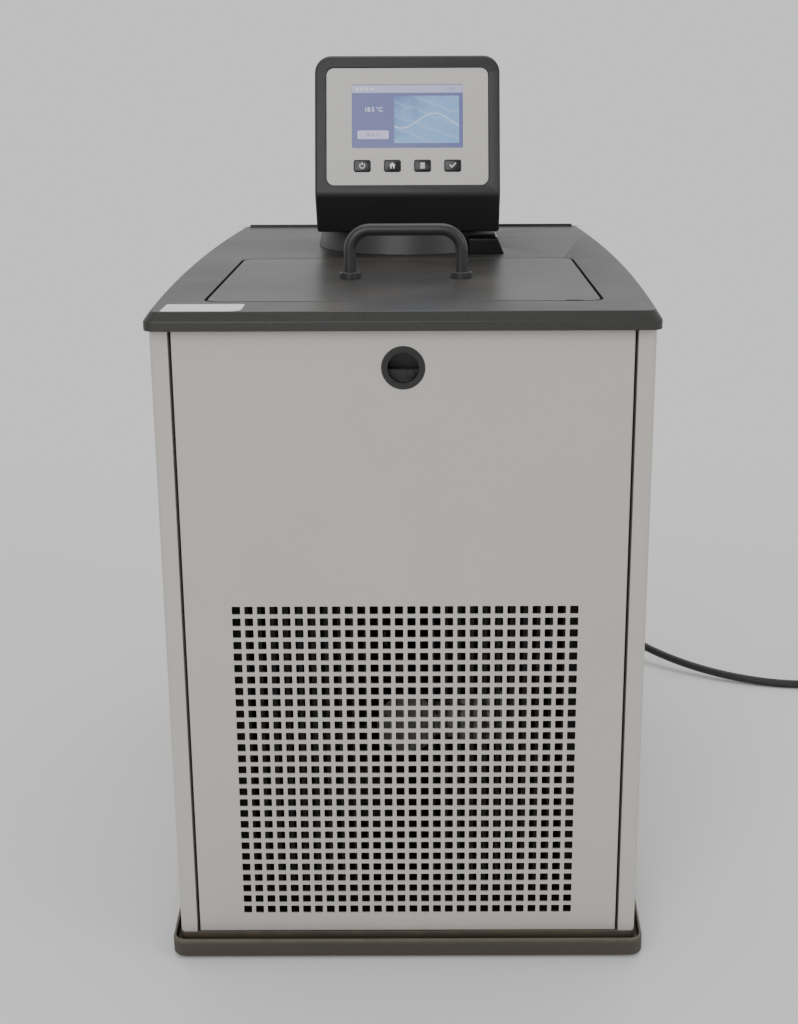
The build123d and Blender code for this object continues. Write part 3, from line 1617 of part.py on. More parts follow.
os.makedirs("parts", exist_ok=True)
for name, piece in pieces.items():
    piece.part.label = name
    export_step(piece.part, f"parts/{name}.step")
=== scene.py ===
import json
from math import cos, radians, sin

import bmesh
import bpy
import numpy as np
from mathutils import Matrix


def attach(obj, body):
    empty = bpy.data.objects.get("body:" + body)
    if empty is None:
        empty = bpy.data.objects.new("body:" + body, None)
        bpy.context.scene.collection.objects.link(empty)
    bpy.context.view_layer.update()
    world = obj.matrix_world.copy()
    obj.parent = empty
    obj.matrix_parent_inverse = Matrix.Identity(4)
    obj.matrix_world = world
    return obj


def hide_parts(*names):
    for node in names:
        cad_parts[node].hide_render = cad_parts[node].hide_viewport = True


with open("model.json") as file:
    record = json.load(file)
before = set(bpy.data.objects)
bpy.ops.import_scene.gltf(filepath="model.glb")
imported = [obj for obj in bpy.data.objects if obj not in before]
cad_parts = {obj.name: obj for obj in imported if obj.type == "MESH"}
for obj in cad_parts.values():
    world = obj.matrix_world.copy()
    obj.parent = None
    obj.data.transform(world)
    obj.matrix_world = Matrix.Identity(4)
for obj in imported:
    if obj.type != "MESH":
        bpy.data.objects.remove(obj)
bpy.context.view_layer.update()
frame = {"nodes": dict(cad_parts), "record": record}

# The view: a camera on a stand in front of the cabinet, above its deck and tilted down. Its shift only frames
# the cabinet as the photograph does.
camera = bpy.data.objects.new("camera", bpy.data.cameras.new("camera"))
camera.location = (0.0167, -1.2353, 0.6560)
camera.rotation_euler = (radians(90 - 15.19), radians(0.21), radians(0.04))
camera.data.lens = 50.3
camera.data.shift_x = -0.0259
camera.data.shift_y = -0.0544
bpy.context.collection.objects.link(camera)
bpy.context.scene.camera = camera

# Mains cord: a round rubber-sheathed lead that leaves the rear panel near the floor, runs out to the right
# and ends in a put-away coil beside the cabinet. It is one smooth line, and the coil's turns are part of
# it.
mm = 0.001
carrier = {node: body for body, nodes in frame["record"]["behaviour"]["bodies"].items() for node in nodes}


def tone(red, green, blue):
    """Linear colour of a screen tone from 0 to 255: the power law of the sRGB curve, straight near black."""
    part = np.array([red, green, blue]) / 255
    linear = np.where(part <= 0.04045, part / 12.92, ((part + 0.055) / 1.055) ** 2.4)
    return (*(float(v) for v in linear), 1.0)


def add_node(tree, kind, links=None, **settings):
    """A shader node with its settings, its inputs wired to sockets or set to plain values."""
    node = tree.nodes.new(kind)
    for setting, value in settings.items():
        setattr(node, setting, value)
    for socket, source in (links or {}).items():
        if isinstance(source, bpy.types.NodeSocket):
            tree.links.new(source, node.inputs[socket])
        else:
            node.inputs[socket].default_value = source
    return node


def math_node(tree, operation, *values):
    """Result of one sum on one to three values."""
    return add_node(tree, "ShaderNodeMath", dict(enumerate(values)), operation=operation).outputs[0]


def vector_node(tree, operation, *values):
    """Result of one vector sum on one or two vectors."""
    return add_node(tree, "ShaderNodeVectorMath", dict(enumerate(values)), operation=operation)


def mixed(tree, share, low, high):
    """Colour between low and high by a share from 0 to 1."""
    return add_node(tree, "ShaderNodeMix", {0: share, 6: low, 7: high}, data_type="RGBA").outputs[2]


def effect(name, inputs, outputs):
    """An empty effect group with its named inputs and outputs, and its two end nodes."""
    group = bpy.data.node_groups.new(name, "ShaderNodeTree")
    for label, kind, value in inputs:
        socket = group.interface.new_socket(label, in_out="INPUT", socket_type=kind)
        if value is not None:
            socket.default_value = value
    for label in outputs:
        group.interface.new_socket(label, in_out="OUTPUT", socket_type="NodeSocketFloat")
    return group, group.nodes.new("NodeGroupInput").outputs, group.nodes.new("NodeGroupOutput").inputs


# Skin effect: grain in the height, and a shade and a gloss that drift slowly and vary finely over a surface
skin_effect, given, result = effect(
    "surface_skin",
    [
        ("Position", "NodeSocketVector", None),
        ("Spacing", "NodeSocketFloat", 0.001),
        ("Patch", "NodeSocketFloat", 0.1),
        ("Fine Share", "NodeSocketFloat", 0.5),
    ],
    ["Height", "Shade", "Gloss"],
)
inverse_spacing = math_node(skin_effect, "DIVIDE", 1.0, given["Spacing"])
inverse_patch = math_node(skin_effect, "DIVIDE", 1.0, given["Patch"])
fine_place = vector_node(skin_effect, "SCALE", given["Position"])
skin_effect.links.new(inverse_spacing, fine_place.inputs["Scale"])
broad_place = vector_node(skin_effect, "SCALE", given["Position"])
skin_effect.links.new(inverse_patch, broad_place.inputs["Scale"])
fine = add_node(
    skin_effect, "ShaderNodeTexNoise", {"Vector": fine_place.outputs[0], "Scale": 1.0, "Detail": 3.0}
)
flecks = add_node(
    skin_effect, "ShaderNodeTexNoise", {"Vector": fine_place.outputs[0], "Scale": 0.41, "Detail": 1.0}
)
broad = add_node(
    skin_effect, "ShaderNodeTexNoise", {"Vector": broad_place.outputs[0], "Scale": 1.0, "Detail": 2.0}
)
both = add_node(
    skin_effect,
    "ShaderNodeMix",
    {0: given["Fine Share"], 2: broad.outputs["Fac"], 3: flecks.outputs["Fac"]},
    data_type="FLOAT",
)
spread = add_node(
    skin_effect, "ShaderNodeMapRange", {"Value": both.outputs[0], "From Min": 0.32, "From Max": 0.68}
)
skin_effect.links.new(fine.outputs["Fac"], result["Height"])
skin_effect.links.new(spread.outputs["Result"], result["Shade"])
half_broad = math_node(skin_effect, "MULTIPLY", broad.outputs["Fac"], 0.5)
skin_effect.links.new(
    math_node(skin_effect, "MULTIPLY_ADD", fine.outputs["Fac"], 0.5, half_broad), result["Gloss"]
)

# Dust effect: more where a surface looks up, broken into patches and specks
dust_effect, given, result = effect(
    "settled_dust",
    [
        ("Position", "NodeSocketVector", None),
        ("Facing", "NodeSocketVector", None),
        ("Amount", "NodeSocketFloat", 0.2),
    ],
    ["Mask"],
)
facing = add_node(dust_effect, "ShaderNodeSeparateXYZ", {0: given["Facing"]})
upward = add_node(
    dust_effect, "ShaderNodeMapRange", {"Value": facing.outputs["Z"], "From Min": 0.6, "From Max": 1.0}
)
film = add_node(dust_effect, "ShaderNodeTexNoise", {"Vector": given["Position"], "Scale": 9.0, "Detail": 5.0})
film_share = add_node(
    dust_effect, "ShaderNodeMapRange", {"Value": film.outputs["Fac"], "From Min": 0.35, "From Max": 0.75}
)
specks = add_node(
    dust_effect, "ShaderNodeTexNoise", {"Vector": given["Position"], "Scale": 900.0, "Detail": 1.0}
)
speck_share = add_node(
    dust_effect, "ShaderNodeMapRange", {"Value": specks.outputs["Fac"], "From Min": 0.68, "From Max": 0.76}
)
dust_share = math_node(
    dust_effect, "MULTIPLY_ADD", film_share.outputs["Result"], 0.5, speck_share.outputs["Result"]
)
dust_here = math_node(dust_effect, "MULTIPLY", dust_share, upward.outputs["Result"])
dust_effect.links.new(math_node(dust_effect, "MULTIPLY", dust_here, given["Amount"]), result["Mask"])


def surface(
    name, colour, rough=0.5, grain=0.8, depth=0.02, fine=0.5, spread=0.06, patch=90.0, metal=0.0, dust=0.0
):
    """Material whose colour drifts round one tone, with fine grain in its height and gloss, and dust."""
    material = bpy.data.materials.new(name)
    material.use_nodes = True
    tree = material.node_tree
    shader = tree.nodes["Principled BSDF"]
    place = add_node(tree, "ShaderNodeTexCoord").outputs
    skin = add_node(tree, "ShaderNodeGroup", node_tree=skin_effect)
    tree.links.new(place["Object"], skin.inputs["Position"])
    skin.inputs["Spacing"].default_value = grain * mm
    skin.inputs["Patch"].default_value = patch * mm
    skin.inputs["Fine Share"].default_value = fine
    low = tuple(c * (1 - spread) for c in colour[:3]) + (1.0,)
    high = tuple(min(1.0, c * (1 + spread)) for c in colour[:3]) + (1.0,)
    coloured = mixed(tree, skin.outputs["Shade"], low, high)
    if dust:
        settled = add_node(tree, "ShaderNodeGroup", node_tree=dust_effect)
        tree.links.new(place["Object"], settled.inputs["Position"])
        tree.links.new(place["Normal"], settled.inputs["Facing"])
        settled.inputs["Amount"].default_value = dust
        coloured = mixed(tree, settled.outputs["Mask"], coloured, tone(168, 162, 152))
    tree.links.new(coloured, shader.inputs["Base Color"])
    gloss = add_node(
        tree,
        "ShaderNodeMapRange",
        {
            "Value": skin.outputs["Gloss"],
            "From Min": 0.3,
            "From Max": 0.7,
            "To Min": rough - 0.05,
            "To Max": rough + 0.05,
        },
    )
    tree.links.new(gloss.outputs["Result"], shader.inputs["Roughness"])
    bump = add_node(
        tree, "ShaderNodeBump", {"Height": skin.outputs["Height"], "Distance": depth * mm, "Strength": 1.0}
    )
    tree.links.new(bump.outputs["Normal"], shader.inputs["Normal"])
    shader.inputs["Metallic"].default_value = metal
    return material


def coat(material, *nodes):
    """Gives CAD nodes that stay as they are their material."""
    for node in nodes:
        frame["nodes"][node].data.materials.clear()
        frame["nodes"][node].data.materials.append(material)


def settle(piece, *nodes):
    """A piece takes the place of CAD nodes: it rides on their body, and they are hidden."""
    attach(piece, carrier[nodes[0]])
    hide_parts(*nodes)
    return piece


def made(name, mesh, material):
    """An object at the origin from a finished mesh and its material."""
    piece = bpy.data.objects.new(name, mesh)
    bpy.context.collection.objects.link(piece)
    mesh.materials.append(material)
    return piece


def ease_edges(piece, edge, crisp=32.0):
    """Shades soft bends smooth, and rounds the crisp edges over a small width."""
    piece.data.shade_smooth()
    piece.data.set_sharp_from_angle(angle=radians(crisp))
    if edge:
        bevel = piece.modifiers.new("eased", "BEVEL")
        bevel.width = edge * mm
        bevel.segments = 2
        bevel.limit_method = "ANGLE"
        bevel.angle_limit = radians(crisp)
        bevel.use_clamp_overlap = False
        bevel.harden_normals = True


def trued(name, node, material, edge, crisp=32.0):
    """A CAD node as one joined skin that takes its place, with its edges eased."""
    skin = bmesh.new()
    skin.from_mesh(frame["nodes"][node].data)
    bmesh.ops.remove_doubles(skin, verts=skin.verts, dist=2e-6)
    bmesh.ops.dissolve_limit(skin, angle_limit=radians(0.2), verts=skin.verts, edges=skin.edges)
    mesh = bpy.data.meshes.new(name)
    skin.to_mesh(mesh)
    skin.free()
    mesh.materials.clear()
    piece = made(name, mesh, material)
    ease_edges(piece, edge, crisp)
    return settle(piece, node)


def solid(name, places, faces, material, smooth=True):
    """Mesh object from corner places in millimetres and faces of their numbers, with equal corners joined."""
    corners, joined = np.unique(np.round(places, 4), axis=0, return_inverse=True)
    joined = joined.reshape(-1)
    mesh = bpy.data.meshes.new(name)
    mesh.from_pydata(corners * mm, [], [joined[np.asarray(face)].tolist() for face in faces])
    if smooth:
        mesh.shade_smooth()
        mesh.set_sharp_from_angle(angle=radians(32))
    return made(name, mesh, material)


def ring_faces(rings, points, copies=1):
    """Four-cornered faces between neighbouring closed rings of a stack, for each copy of the stack."""
    ring, point = np.meshgrid(np.arange(rings - 1), np.arange(points), indexing="ij")
    after = (point + 1) % points
    quads = np.stack(
        [
            ring * points + point,
            ring * points + after,
            (ring + 1) * points + after,
            (ring + 1) * points + point,
        ],
        axis=-1,
    ).reshape(-1, 4)
    return (quads + np.arange(copies)[:, None, None] * rings * points).reshape(-1, 4)


def turned(distances, radii, count=48):
    """Rings of a turned piece about the axis of y: radius by the turn's sine and cosine."""
    turn = np.linspace(0, 2 * np.pi, count, endpoint=False)
    radii = np.asarray(radii, float)[:, None]
    return np.stack(
        [
            radii * np.sin(turn),
            np.broadcast_to(np.asarray(distances, float)[:, None], (len(radii), count)),
            radii * np.cos(turn),
        ],
        axis=-1,
    ).reshape(-1, 3)


cord_rubber = surface("cord_rubber", tone(34, 34, 35), rough=0.42, grain=0.7, depth=0.015, spread=0.12)
cord_radius = 4.25
cord_route = np.array(
    [
        (112, 287, 46),
        (112, 329, 46),
        (141, 362, 42),
        (187, 362, 36),
        (226, 331, 28),
        (263, 278, 18),
        (322, 238, 8),
        (388, 212, 4.25),
        (450, 207, 4.25),
        (490, 207, 4.25),
    ]
)
coil_x, coil_y, coil_outer, coil_inner = 526.0, 258.05, 51.05, 42.45
plug_x, plug_z, neck_start = 577.05, 12.5, 294.05
wound = np.arange(0, 1891, 15.0)


def eased_step(start):
    """From 0 to 1 over 60 degrees of winding after start, level at both ends."""
    share = np.clip((wound - start) / 60, 0, 1)
    return share * share * (3 - 2 * share)


turn_radius = coil_outer + (coil_outer - coil_inner) * (eased_step(1240) - eased_step(250))
turn_height = 5.15 + 2 * cord_radius * (eased_step(580) + eased_step(910) - eased_step(1570))
turn_angle = np.radians(wound - 90)
coil_turns = np.column_stack(
    [
        coil_x + 1.0087 * turn_radius * np.cos(turn_angle),
        coil_y + 1.0087 * turn_radius * np.sin(turn_angle),
        turn_height,
    ]
)
coil_end = np.array([(plug_x, 274.0, 12.9), (plug_x, neck_start, plug_z)])
cord_points = np.vstack([cord_route, coil_turns, coil_end])
cord_curve = bpy.data.curves.new("mains_lead", "CURVE")
cord_curve.dimensions = "3D"
cord_curve.bevel_depth = cord_radius * mm
cord_curve.bevel_resolution = 6
cord_curve.resolution_u = 12
cord_curve.use_fill_caps = True
cord_line = cord_curve.splines.new("NURBS")
cord_line.points.add(len(cord_points) - 1)
cord_line.points.foreach_set("co", np.column_stack([cord_points * mm, np.ones(len(cord_points))]).ravel())
cord_line.order_u = 3
cord_line.use_endpoint_u = True
cord_curve.materials.append(cord_rubber)
mains_lead = bpy.data.objects.new("mains_lead", cord_curve)
bpy.context.collection.objects.link(mains_lead)
settle(mains_lead, "mains_cord", "cord_coil")

# Strain relief: a tapered, ribbed rubber sleeve that is moulded on the cord and snaps into the rear panel.
gland_x, gland_z, panel_back, gland_length = 112.0, 46.0, 255.0, 32.0
gland_rubber = surface("gland_rubber", tone(30, 30, 31), rough=0.5, grain=0.6, depth=0.02)
rib_run = np.linspace(3.2, gland_length, 61)
rib_radius = 8.0 - 2.0 * (rib_run - 3.2) / (gland_length - 3.2) - 0.55 * (
    np.sin(rib_run * 2 * np.pi / 4.1) > 0.35
)
gland_runs = np.concatenate([[-2.4, 0, 0, 0.5, 2.5, 3.0], rib_run])
gland_radii = np.concatenate([[8.0, 8.0, 10.6, 11.0, 11.0, 10.5], rib_radius])
gland_rings = turned(gland_runs + panel_back, gland_radii) + (gland_x, 0, gland_z)
gland = solid(
    "cord_strain_relief",
    gland_rings,
    [*ring_faces(len(gland_runs), 48), np.arange(48)[::-1], np.arange(48) + 48 * (len(gland_runs) - 1)],
    gland_rubber,
)
settle(gland, "cord_gland")

# Plug: a moulded three-pin mains plug on the cord's far end, with bright pins.
plug_rubber = surface("plug_rubber", tone(33, 33, 34), rough=0.45, grain=0.6, depth=0.02)
pin_metal = surface("plug_pin_metal", tone(196, 192, 184), rough=0.28, grain=0.4, depth=0.004, metal=1.0)
plug = trued("moulded_plug", "cord_plug", plug_rubber, 0.5)
plug.data.materials.append(pin_metal)
pins_begin = 352.06 * mm
pin_faces = [int(face.center.y > pins_begin) for face in plug.data.polygons]
plug.data.polygons.foreach_set("material_index", pin_faces)

# Tie: a soft plastic band round the turns of the put-away coil.
tie_plastic = surface("tie_plastic", tone(26, 26, 27), rough=0.38, grain=0.5, depth=0.02)
tie = trued("coil_tie", "cord_tie", tie_plastic, 0.2)

# Base tray: one moulding of brown-grey plastic with a lip round the foot of the cabinet. Its upper edge is
# painted lighter, partly rubbing wear and partly a painted highlight where light catches the top, and dust
# lies in the groove. Four rubber feet are let into its underside.
tray_plastic = surface(
    "tray_plastic", tone(64, 58, 51), rough=0.55, grain=1.1, depth=0.05, spread=0.1, dust=0.5
)
tray_tree = tray_plastic.node_tree
tray_shader = tray_tree.nodes["Principled BSDF"]
tray_place = add_node(tray_tree, "ShaderNodeTexCoord").outputs["Object"]
tray_height = add_node(tray_tree, "ShaderNodeSeparateXYZ", {0: tray_place}).outputs["Z"]
# Painted highlight and rubbing wear: the top band of the tray, 12.8 to 16.6 mm up, turns lighter brown in
# noisy patches.
top_band = add_node(
    tray_tree, "ShaderNodeMapRange", {"Value": tray_height, "From Min": 0.0128, "From Max": 0.0166}
)
wear_and_highlight_noise = add_node(tray_tree, "ShaderNodeTexNoise", {"Vector": tray_place, "Scale": 60.0, "Detail": 4.0})
wear_and_highlight_share = math_node(tray_tree, "MULTIPLY", top_band.outputs["Result"], wear_and_highlight_noise.outputs["Fac"])
plain_colour = tray_shader.inputs["Base Color"].links[0].from_socket
tray_tree.links.new(
    mixed(tray_tree, wear_and_highlight_share, plain_colour, tone(112, 100, 86)), tray_shader.inputs["Base Color"]
)
trued("base_tray_moulding", "base_tray", tray_plastic, 0.5)
foot_rubber = surface("foot_rubber", tone(24, 24, 24), rough=0.7, grain=0.8, depth=0.04)
trued("rubber_feet", "feet", foot_rubber, 0.4)

# Chassis: a pan, corner posts and rails of folded and painted steel inside the cabinet, with the magnets that
# hold the front panel.
frame_paint = surface(
    "frame_paint", tone(38, 38, 38), rough=0.5, grain=1.0, depth=0.02, spread=0.08, dust=0.2
)
coat(frame_paint, "chassis_frame")
magnet_black = surface("magnet_housing", tone(30, 30, 32), rough=0.45, grain=0.6, depth=0.02)
coat(magnet_black, "panel_magnets")

# Side panels: bowed sheets of steel with a fine powder coat, folded round to the front as narrow post faces.
panel_paint = surface(
    "panel_paint",
    tone(190, 185, 179),
    rough=0.4,
    grain=0.55,
    depth=0.012,
    fine=0.35,
    spread=0.025,
    patch=160,
)
trued("side_panel_left_sheet", "side_panel_left", panel_paint, 0.3)
trued("side_panel_right_sheet", "side_panel_right", panel_paint, 0.3)

# Front panel: one folded pan of painted sheet, punched with a grille of 28 by 28 small square holes and a
# round hole for the finger pull. It hangs on magnets, and its edges are bent back.
panel_half, panel_low, panel_high = 158.7, 18.5, 484.2
panel_front, sheet, flange = -273.0, 1.2, 12.0
hole, pitch, count, grille_z = 6.05, 9.0, 28, 158.7
pull_z, pull_hole, punch_edge = 457.6, 13.3, 0.18
punch_corner, tile_split = 0.55, 1.7


def square_ring(half, corner, middle):
    """Twelve points round a square, three at each corner: the ends of a quarter arc, and between them a
    point that lies on the arc or, for a plain corner, where the two sides meet."""
    turn = np.radians(90 * np.arange(4))[:, None]
    local = np.array([(half, half - corner), (half - corner * (1 - middle),) * 2, (half - corner, half)])
    across = local[:, 0] * np.cos(turn) - local[:, 1] * np.sin(turn)
    upward = local[:, 0] * np.sin(turn) + local[:, 1] * np.cos(turn)
    return np.stack([across, upward], axis=-1).reshape(12, 2)


def at_depth(flat, depth):
    """Points of the panel's plane set at a depth behind its front face."""
    flat = np.asarray(flat, float)
    return np.stack([flat[..., 0], np.full(flat.shape[:-1], panel_front + depth), flat[..., 1]], axis=-1)


steps = (np.arange(count) - (count - 1) / 2) * pitch
centres = np.stack(np.meshgrid(steps, steps + grille_z, indexing="ij"), axis=-1).reshape(-1, 1, 1, 2)
tile_outline = square_ring(pitch / 2, tile_split, 1.0)
punch_rings = [
    (tile_outline, 0.0),
    (square_ring(hole / 2 + punch_edge, punch_corner + punch_edge, 0.7071), 0.0),
    (square_ring(hole / 2, punch_corner, 0.7071), punch_edge),
    (square_ring(hole / 2, punch_corner, 0.7071), sheet),
    (tile_outline, sheet),
]
tile_places = np.stack([ring for ring, depth in punch_rings])[None] + centres
tile_depths = np.broadcast_to(
    np.array([depth for ring, depth in punch_rings])[None, :, None], tile_places.shape[:3]
)
tiles = np.stack(
    [tile_places[..., 0], panel_front + tile_depths, tile_places[..., 1]], axis=-1
).reshape(-1, 3)
panel_points = [tiles]
panel_faces = [ring_faces(5, 12, count * count)]

tile_lines = np.unique(
    np.round(
        np.concatenate(
            [
                steps - pitch / 2,
                steps - pitch / 2 + tile_split,
                steps + pitch / 2 - tile_split,
                steps + pitch / 2,
            ]
        ),
        4,
    )
)
pull_lines = tile_lines[np.abs(tile_lines) <= 2 * pitch + 0.001]
columns = np.concatenate([[sheet - panel_half], tile_lines, [panel_half - sheet]])
rows = np.concatenate([[panel_low + sheet], tile_lines + grille_z, pull_lines + pull_z, [panel_high - sheet]])
left, low = np.meshgrid(np.arange(len(columns) - 1), np.arange(len(rows) - 1), indexing="ij")
middle_x = (columns[left] + columns[left + 1]) / 2
middle_z = (rows[low] + rows[low + 1]) / 2
in_grille = (np.abs(middle_x) < count * pitch / 2) & (np.abs(middle_z - grille_z) < count * pitch / 2)
in_pull = (np.abs(middle_x) < 2 * pitch) & (np.abs(middle_z - pull_z) < 2 * pitch)
kept = ~(in_grille | in_pull)
corner_numbers = np.arange(len(columns) * len(rows)).reshape(len(columns), len(rows))
lattice = np.stack(np.meshgrid(columns, rows, indexing="ij"), axis=-1).reshape(-1, 2)
cells = np.stack(
    [corner_numbers[:-1, :-1], corner_numbers[1:, :-1], corner_numbers[1:, 1:], corner_numbers[:-1, 1:]],
    axis=-1,
)[kept]
for depth, order in ((0.0, slice(None)), (sheet, slice(None, None, -1))):
    panel_faces.append(cells[:, order] + sum(len(p) for p in panel_points))
    panel_points.append(at_depth(lattice, depth))

around = np.concatenate(
    [
        np.stack([np.full(12, 2 * pitch), pull_lines[:-1]], axis=-1),
        np.stack([pull_lines[:0:-1], np.full(12, 2 * pitch)], axis=-1),
        np.stack([np.full(12, -2 * pitch), pull_lines[:0:-1]], axis=-1),
        np.stack([pull_lines[:-1], np.full(12, -2 * pitch)], axis=-1),
    ]
)
pull_turn = np.radians(-45 + 7.5 * np.arange(48))
circle = np.stack([np.cos(pull_turn), np.sin(pull_turn)], axis=-1)
pull_centre = np.array([0.0, pull_z])
pull_rings = np.concatenate(
    [
        at_depth(around + pull_centre, 0.0),
        at_depth(circle * (pull_hole + punch_edge) + pull_centre, 0.0),
        at_depth(circle * pull_hole + pull_centre, punch_edge),
        at_depth(circle * pull_hole + pull_centre, sheet),
        at_depth(around + pull_centre, sheet),
    ]
)
panel_faces.append(ring_faces(5, 48) + sum(len(p) for p in panel_points))
panel_points.append(pull_rings)

border = np.concatenate(
    [
        np.stack([np.full(len(rows) - 1, columns[-1]), rows[:-1]], axis=-1),
        np.stack([columns[:0:-1], np.full(len(columns) - 1, rows[-1])], axis=-1),
        np.stack([np.full(len(rows) - 1, columns[0]), rows[:0:-1]], axis=-1),
        np.stack([columns[:-1], np.full(len(columns) - 1, rows[0])], axis=-1),
    ]
)
outward = np.stack(
    [
        (border[:, 0] == columns[-1]).astype(float) - (border[:, 0] == columns[0]),
        (border[:, 1] == rows[-1]).astype(float) - (border[:, 1] == rows[0]),
    ],
    axis=-1,
)
bend = np.radians([90, 67.5, 45, 22.5, 0])
bend_rings = [at_depth(border + outward * sheet * sin(a), sheet * (1 - cos(a))) for a in bend]
flange_rings = [at_depth(border, sheet), at_depth(border, flange), at_depth(border + outward * sheet, flange)]
panel_faces.append(ring_faces(8, len(border)) + sum(len(p) for p in panel_points))
panel_points.append(np.concatenate(flange_rings + bend_rings))
front_sheet = solid(
    "front_panel_sheet", np.concatenate(panel_points), np.concatenate(panel_faces), panel_paint
)
settle(front_sheet, "front_panel")

# Finger pull: a moulded cup with a flat ring, pressed into the round hole. Half of its floor is a shelf.
pull_plastic = surface("pull_plastic", tone(30, 30, 31), rough=0.4, grain=0.6, depth=0.015, dust=0.15)
trued("finger_pull_cup", "finger_pull", pull_plastic, 0.25)

# Rear panel: a flat painted sheet with air slots, held by eight pan-head screws with a cross recess.
trued("rear_panel_sheet", "rear_panel", panel_paint, 0.2)
screw_steel = surface("screw_steel", tone(176, 174, 170), rough=0.3, grain=0.5, depth=0.006, metal=1.0)
head_rings, head_count = 18, 48
reach = np.linspace(0.12, 1.0, head_rings)[:, None] * 4.0
around_head = np.linspace(0, 2 * np.pi, head_count, endpoint=False)[None]
head_x, head_z = reach * np.sin(around_head), reach * np.cos(around_head)
narrow = np.minimum(np.abs(head_x), np.abs(head_z))
recess = 1.3 * np.clip((0.75 - narrow) / 0.15, 0, 1) * np.clip((2.3 - reach) / 0.3, 0, 1)
dome = 2.2 - 0.9 * (reach / 4.0) ** 4 - recess
head_top = np.stack([head_x, np.broadcast_to(dome, head_x.shape), head_z], axis=-1).reshape(-1, 3)
shank = turned([0.0, 0.0, -6.0], [4.0, 1.9, 1.9], head_count)
one_screw = np.concatenate([head_top, shank])
screw_stack = head_rings + 3
screw_places = np.array([(x, panel_back, z) for x in (-152.5, 152.5) for z in (40.0, 180.0, 330.0, 465.0)])
screw_points = (one_screw[None] + screw_places[:, None]).reshape(-1, 3)
screw_faces = [face[::-1] for face in ring_faces(screw_stack, head_count, 8)]
for number in range(8):
    first = number * screw_stack * head_count
    screw_faces.append(np.arange(head_count) + first)
    screw_faces.append(np.arange(head_count)[::-1] + first + (screw_stack - 1) * head_count)
rear_screws = solid("rear_panel_screws", screw_points, screw_faces, screw_steel)
settle(rear_screws, "panel_screws")

# Bath: a stainless tank with a brushed finish that hangs under the deck, in a box of pale foam.
foam_white = surface("foam_block", tone(226, 222, 208), rough=0.85, grain=2.2, depth=0.3, spread=0.05)
coat(foam_white, "tank_insulation")
tank_steel = surface("tank_steel", tone(202, 202, 200), rough=0.3, grain=0.6, depth=0.008, metal=1.0)
coat(tank_steel, "bath_tank", "heater_coil", "temperature_probe", "evaporator_coil", "bridge_plate")

# Top deck: one textured moulding with a bevelled rim all round. A white paper sticker without print is
# stuck on its left front corner. One of the sticker's own corners is cut round.
deck_plastic = surface(
    "deck_plastic", tone(48, 47, 45), rough=0.4, grain=1.0, depth=0.035, fine=0.7, spread=0.12, dust=0.25
)
trued("top_deck_moulding", "top_deck", deck_plastic, 0.6)
deck_top = 497.7


def rounded_outline(left_edge, right_edge, low_edge, high_edge, corner_radii):
    """Points round a rectangle with a quarter arc at each corner, from the right lower one turning left."""
    signs = [(1, -1), (1, 1), (-1, 1), (-1, -1)]
    arcs = []
    for number, (radius, (side, end)) in enumerate(zip(corner_radii, signs)):
        middle = (
            (right_edge if side > 0 else left_edge) - side * radius,
            (high_edge if end > 0 else low_edge) - end * radius,
        )
        sweep = np.radians(np.linspace(-90, 0, 9) + 90 * number)
        arcs.append(
            np.stack([middle[0] + radius * np.cos(sweep), middle[1] + radius * np.sin(sweep)], axis=-1)
        )
    return np.concatenate(arcs)


def plate(name, outline, low_side, high_side, place, material):
    """A flat plate over a closed outline: a lower and an upper face, and walls between them."""
    count = len(outline)
    heights = np.repeat([low_side, high_side], count)
    places = place(np.tile(outline[:, 0], 2), np.tile(outline[:, 1], 2), heights)
    walls = ring_faces(2, count)
    return solid(
        name, places, [*walls, np.arange(count)[::-1], np.arange(count) + count], material, smooth=False
    )


def on_deck(across, along, height):
    """Places on the deck's top."""
    return np.stack([across, along, deck_top + height], axis=-1)


sticker_paper = surface(
    "sticker_paper", tone(246, 246, 244), rough=0.55, grain=0.9, depth=0.012, spread=0.02, patch=30
)
sticker = plate(
    "bare_sticker",
    rounded_outline(-164.5, -110.0, -276.5, -247.0, (7.5, 2.5, 2.0, 2.0)),
    0.0,
    0.15,
    on_deck,
    sticker_paper,
)
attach(sticker, "cabinet")

# Lid: a flush plate of the deck's plastic, a little smoother, that rests on a rubber seal in the deck's
# opening.
lid_plastic = surface(
    "lid_plastic", tone(50, 49, 48), rough=0.36, grain=0.9, depth=0.025, fine=0.7, spread=0.1, dust=0.3
)
trued("lid_plate", "lid", lid_plastic, 0.5)
seal_rubber = surface("seal_rubber", tone(22, 22, 22), rough=0.65, grain=0.8, depth=0.03)
coat(seal_rubber, "lid_seal")

# Lid handle: a bent steel rod with a satin black coat, its two collars, and the screws that hold it.
handle_coat = surface(
    "handle_coat", tone(50, 50, 50), rough=0.38, grain=0.5, depth=0.015, fine=0.6, spread=0.08, dust=0.1
)
trued("lid_handle_rod", "lid_handle", handle_coat, 0.0, crisp=40.0)
trued("handle_collar_pair", "handle_collars", handle_coat, 0.3)
coat(screw_steel, "handle_screws")

# Turret: a steep moulded cone on the deck that the head turns on, with its bearing ring and a glossy side
# cover.
turret_plastic = surface(
    "turret_plastic", tone(52, 51, 50), rough=0.4, grain=0.9, depth=0.02, spread=0.08, dust=0.2
)
trued("turret_cone", "turret_skirt", turret_plastic, 0.4)
ring_plastic = surface("ring_plastic", tone(26, 26, 27), rough=0.35, grain=0.6, depth=0.01)
trued("swivel_bearing", "swivel_ring", ring_plastic, 0.2)
gloss_black = surface(
    "gloss_black", tone(14, 14, 15), rough=0.12, grain=2.0, depth=0.004, spread=0.05, dust=0.12
)
trued("side_cover_cap", "turret_side_cover", gloss_black, 0.8)

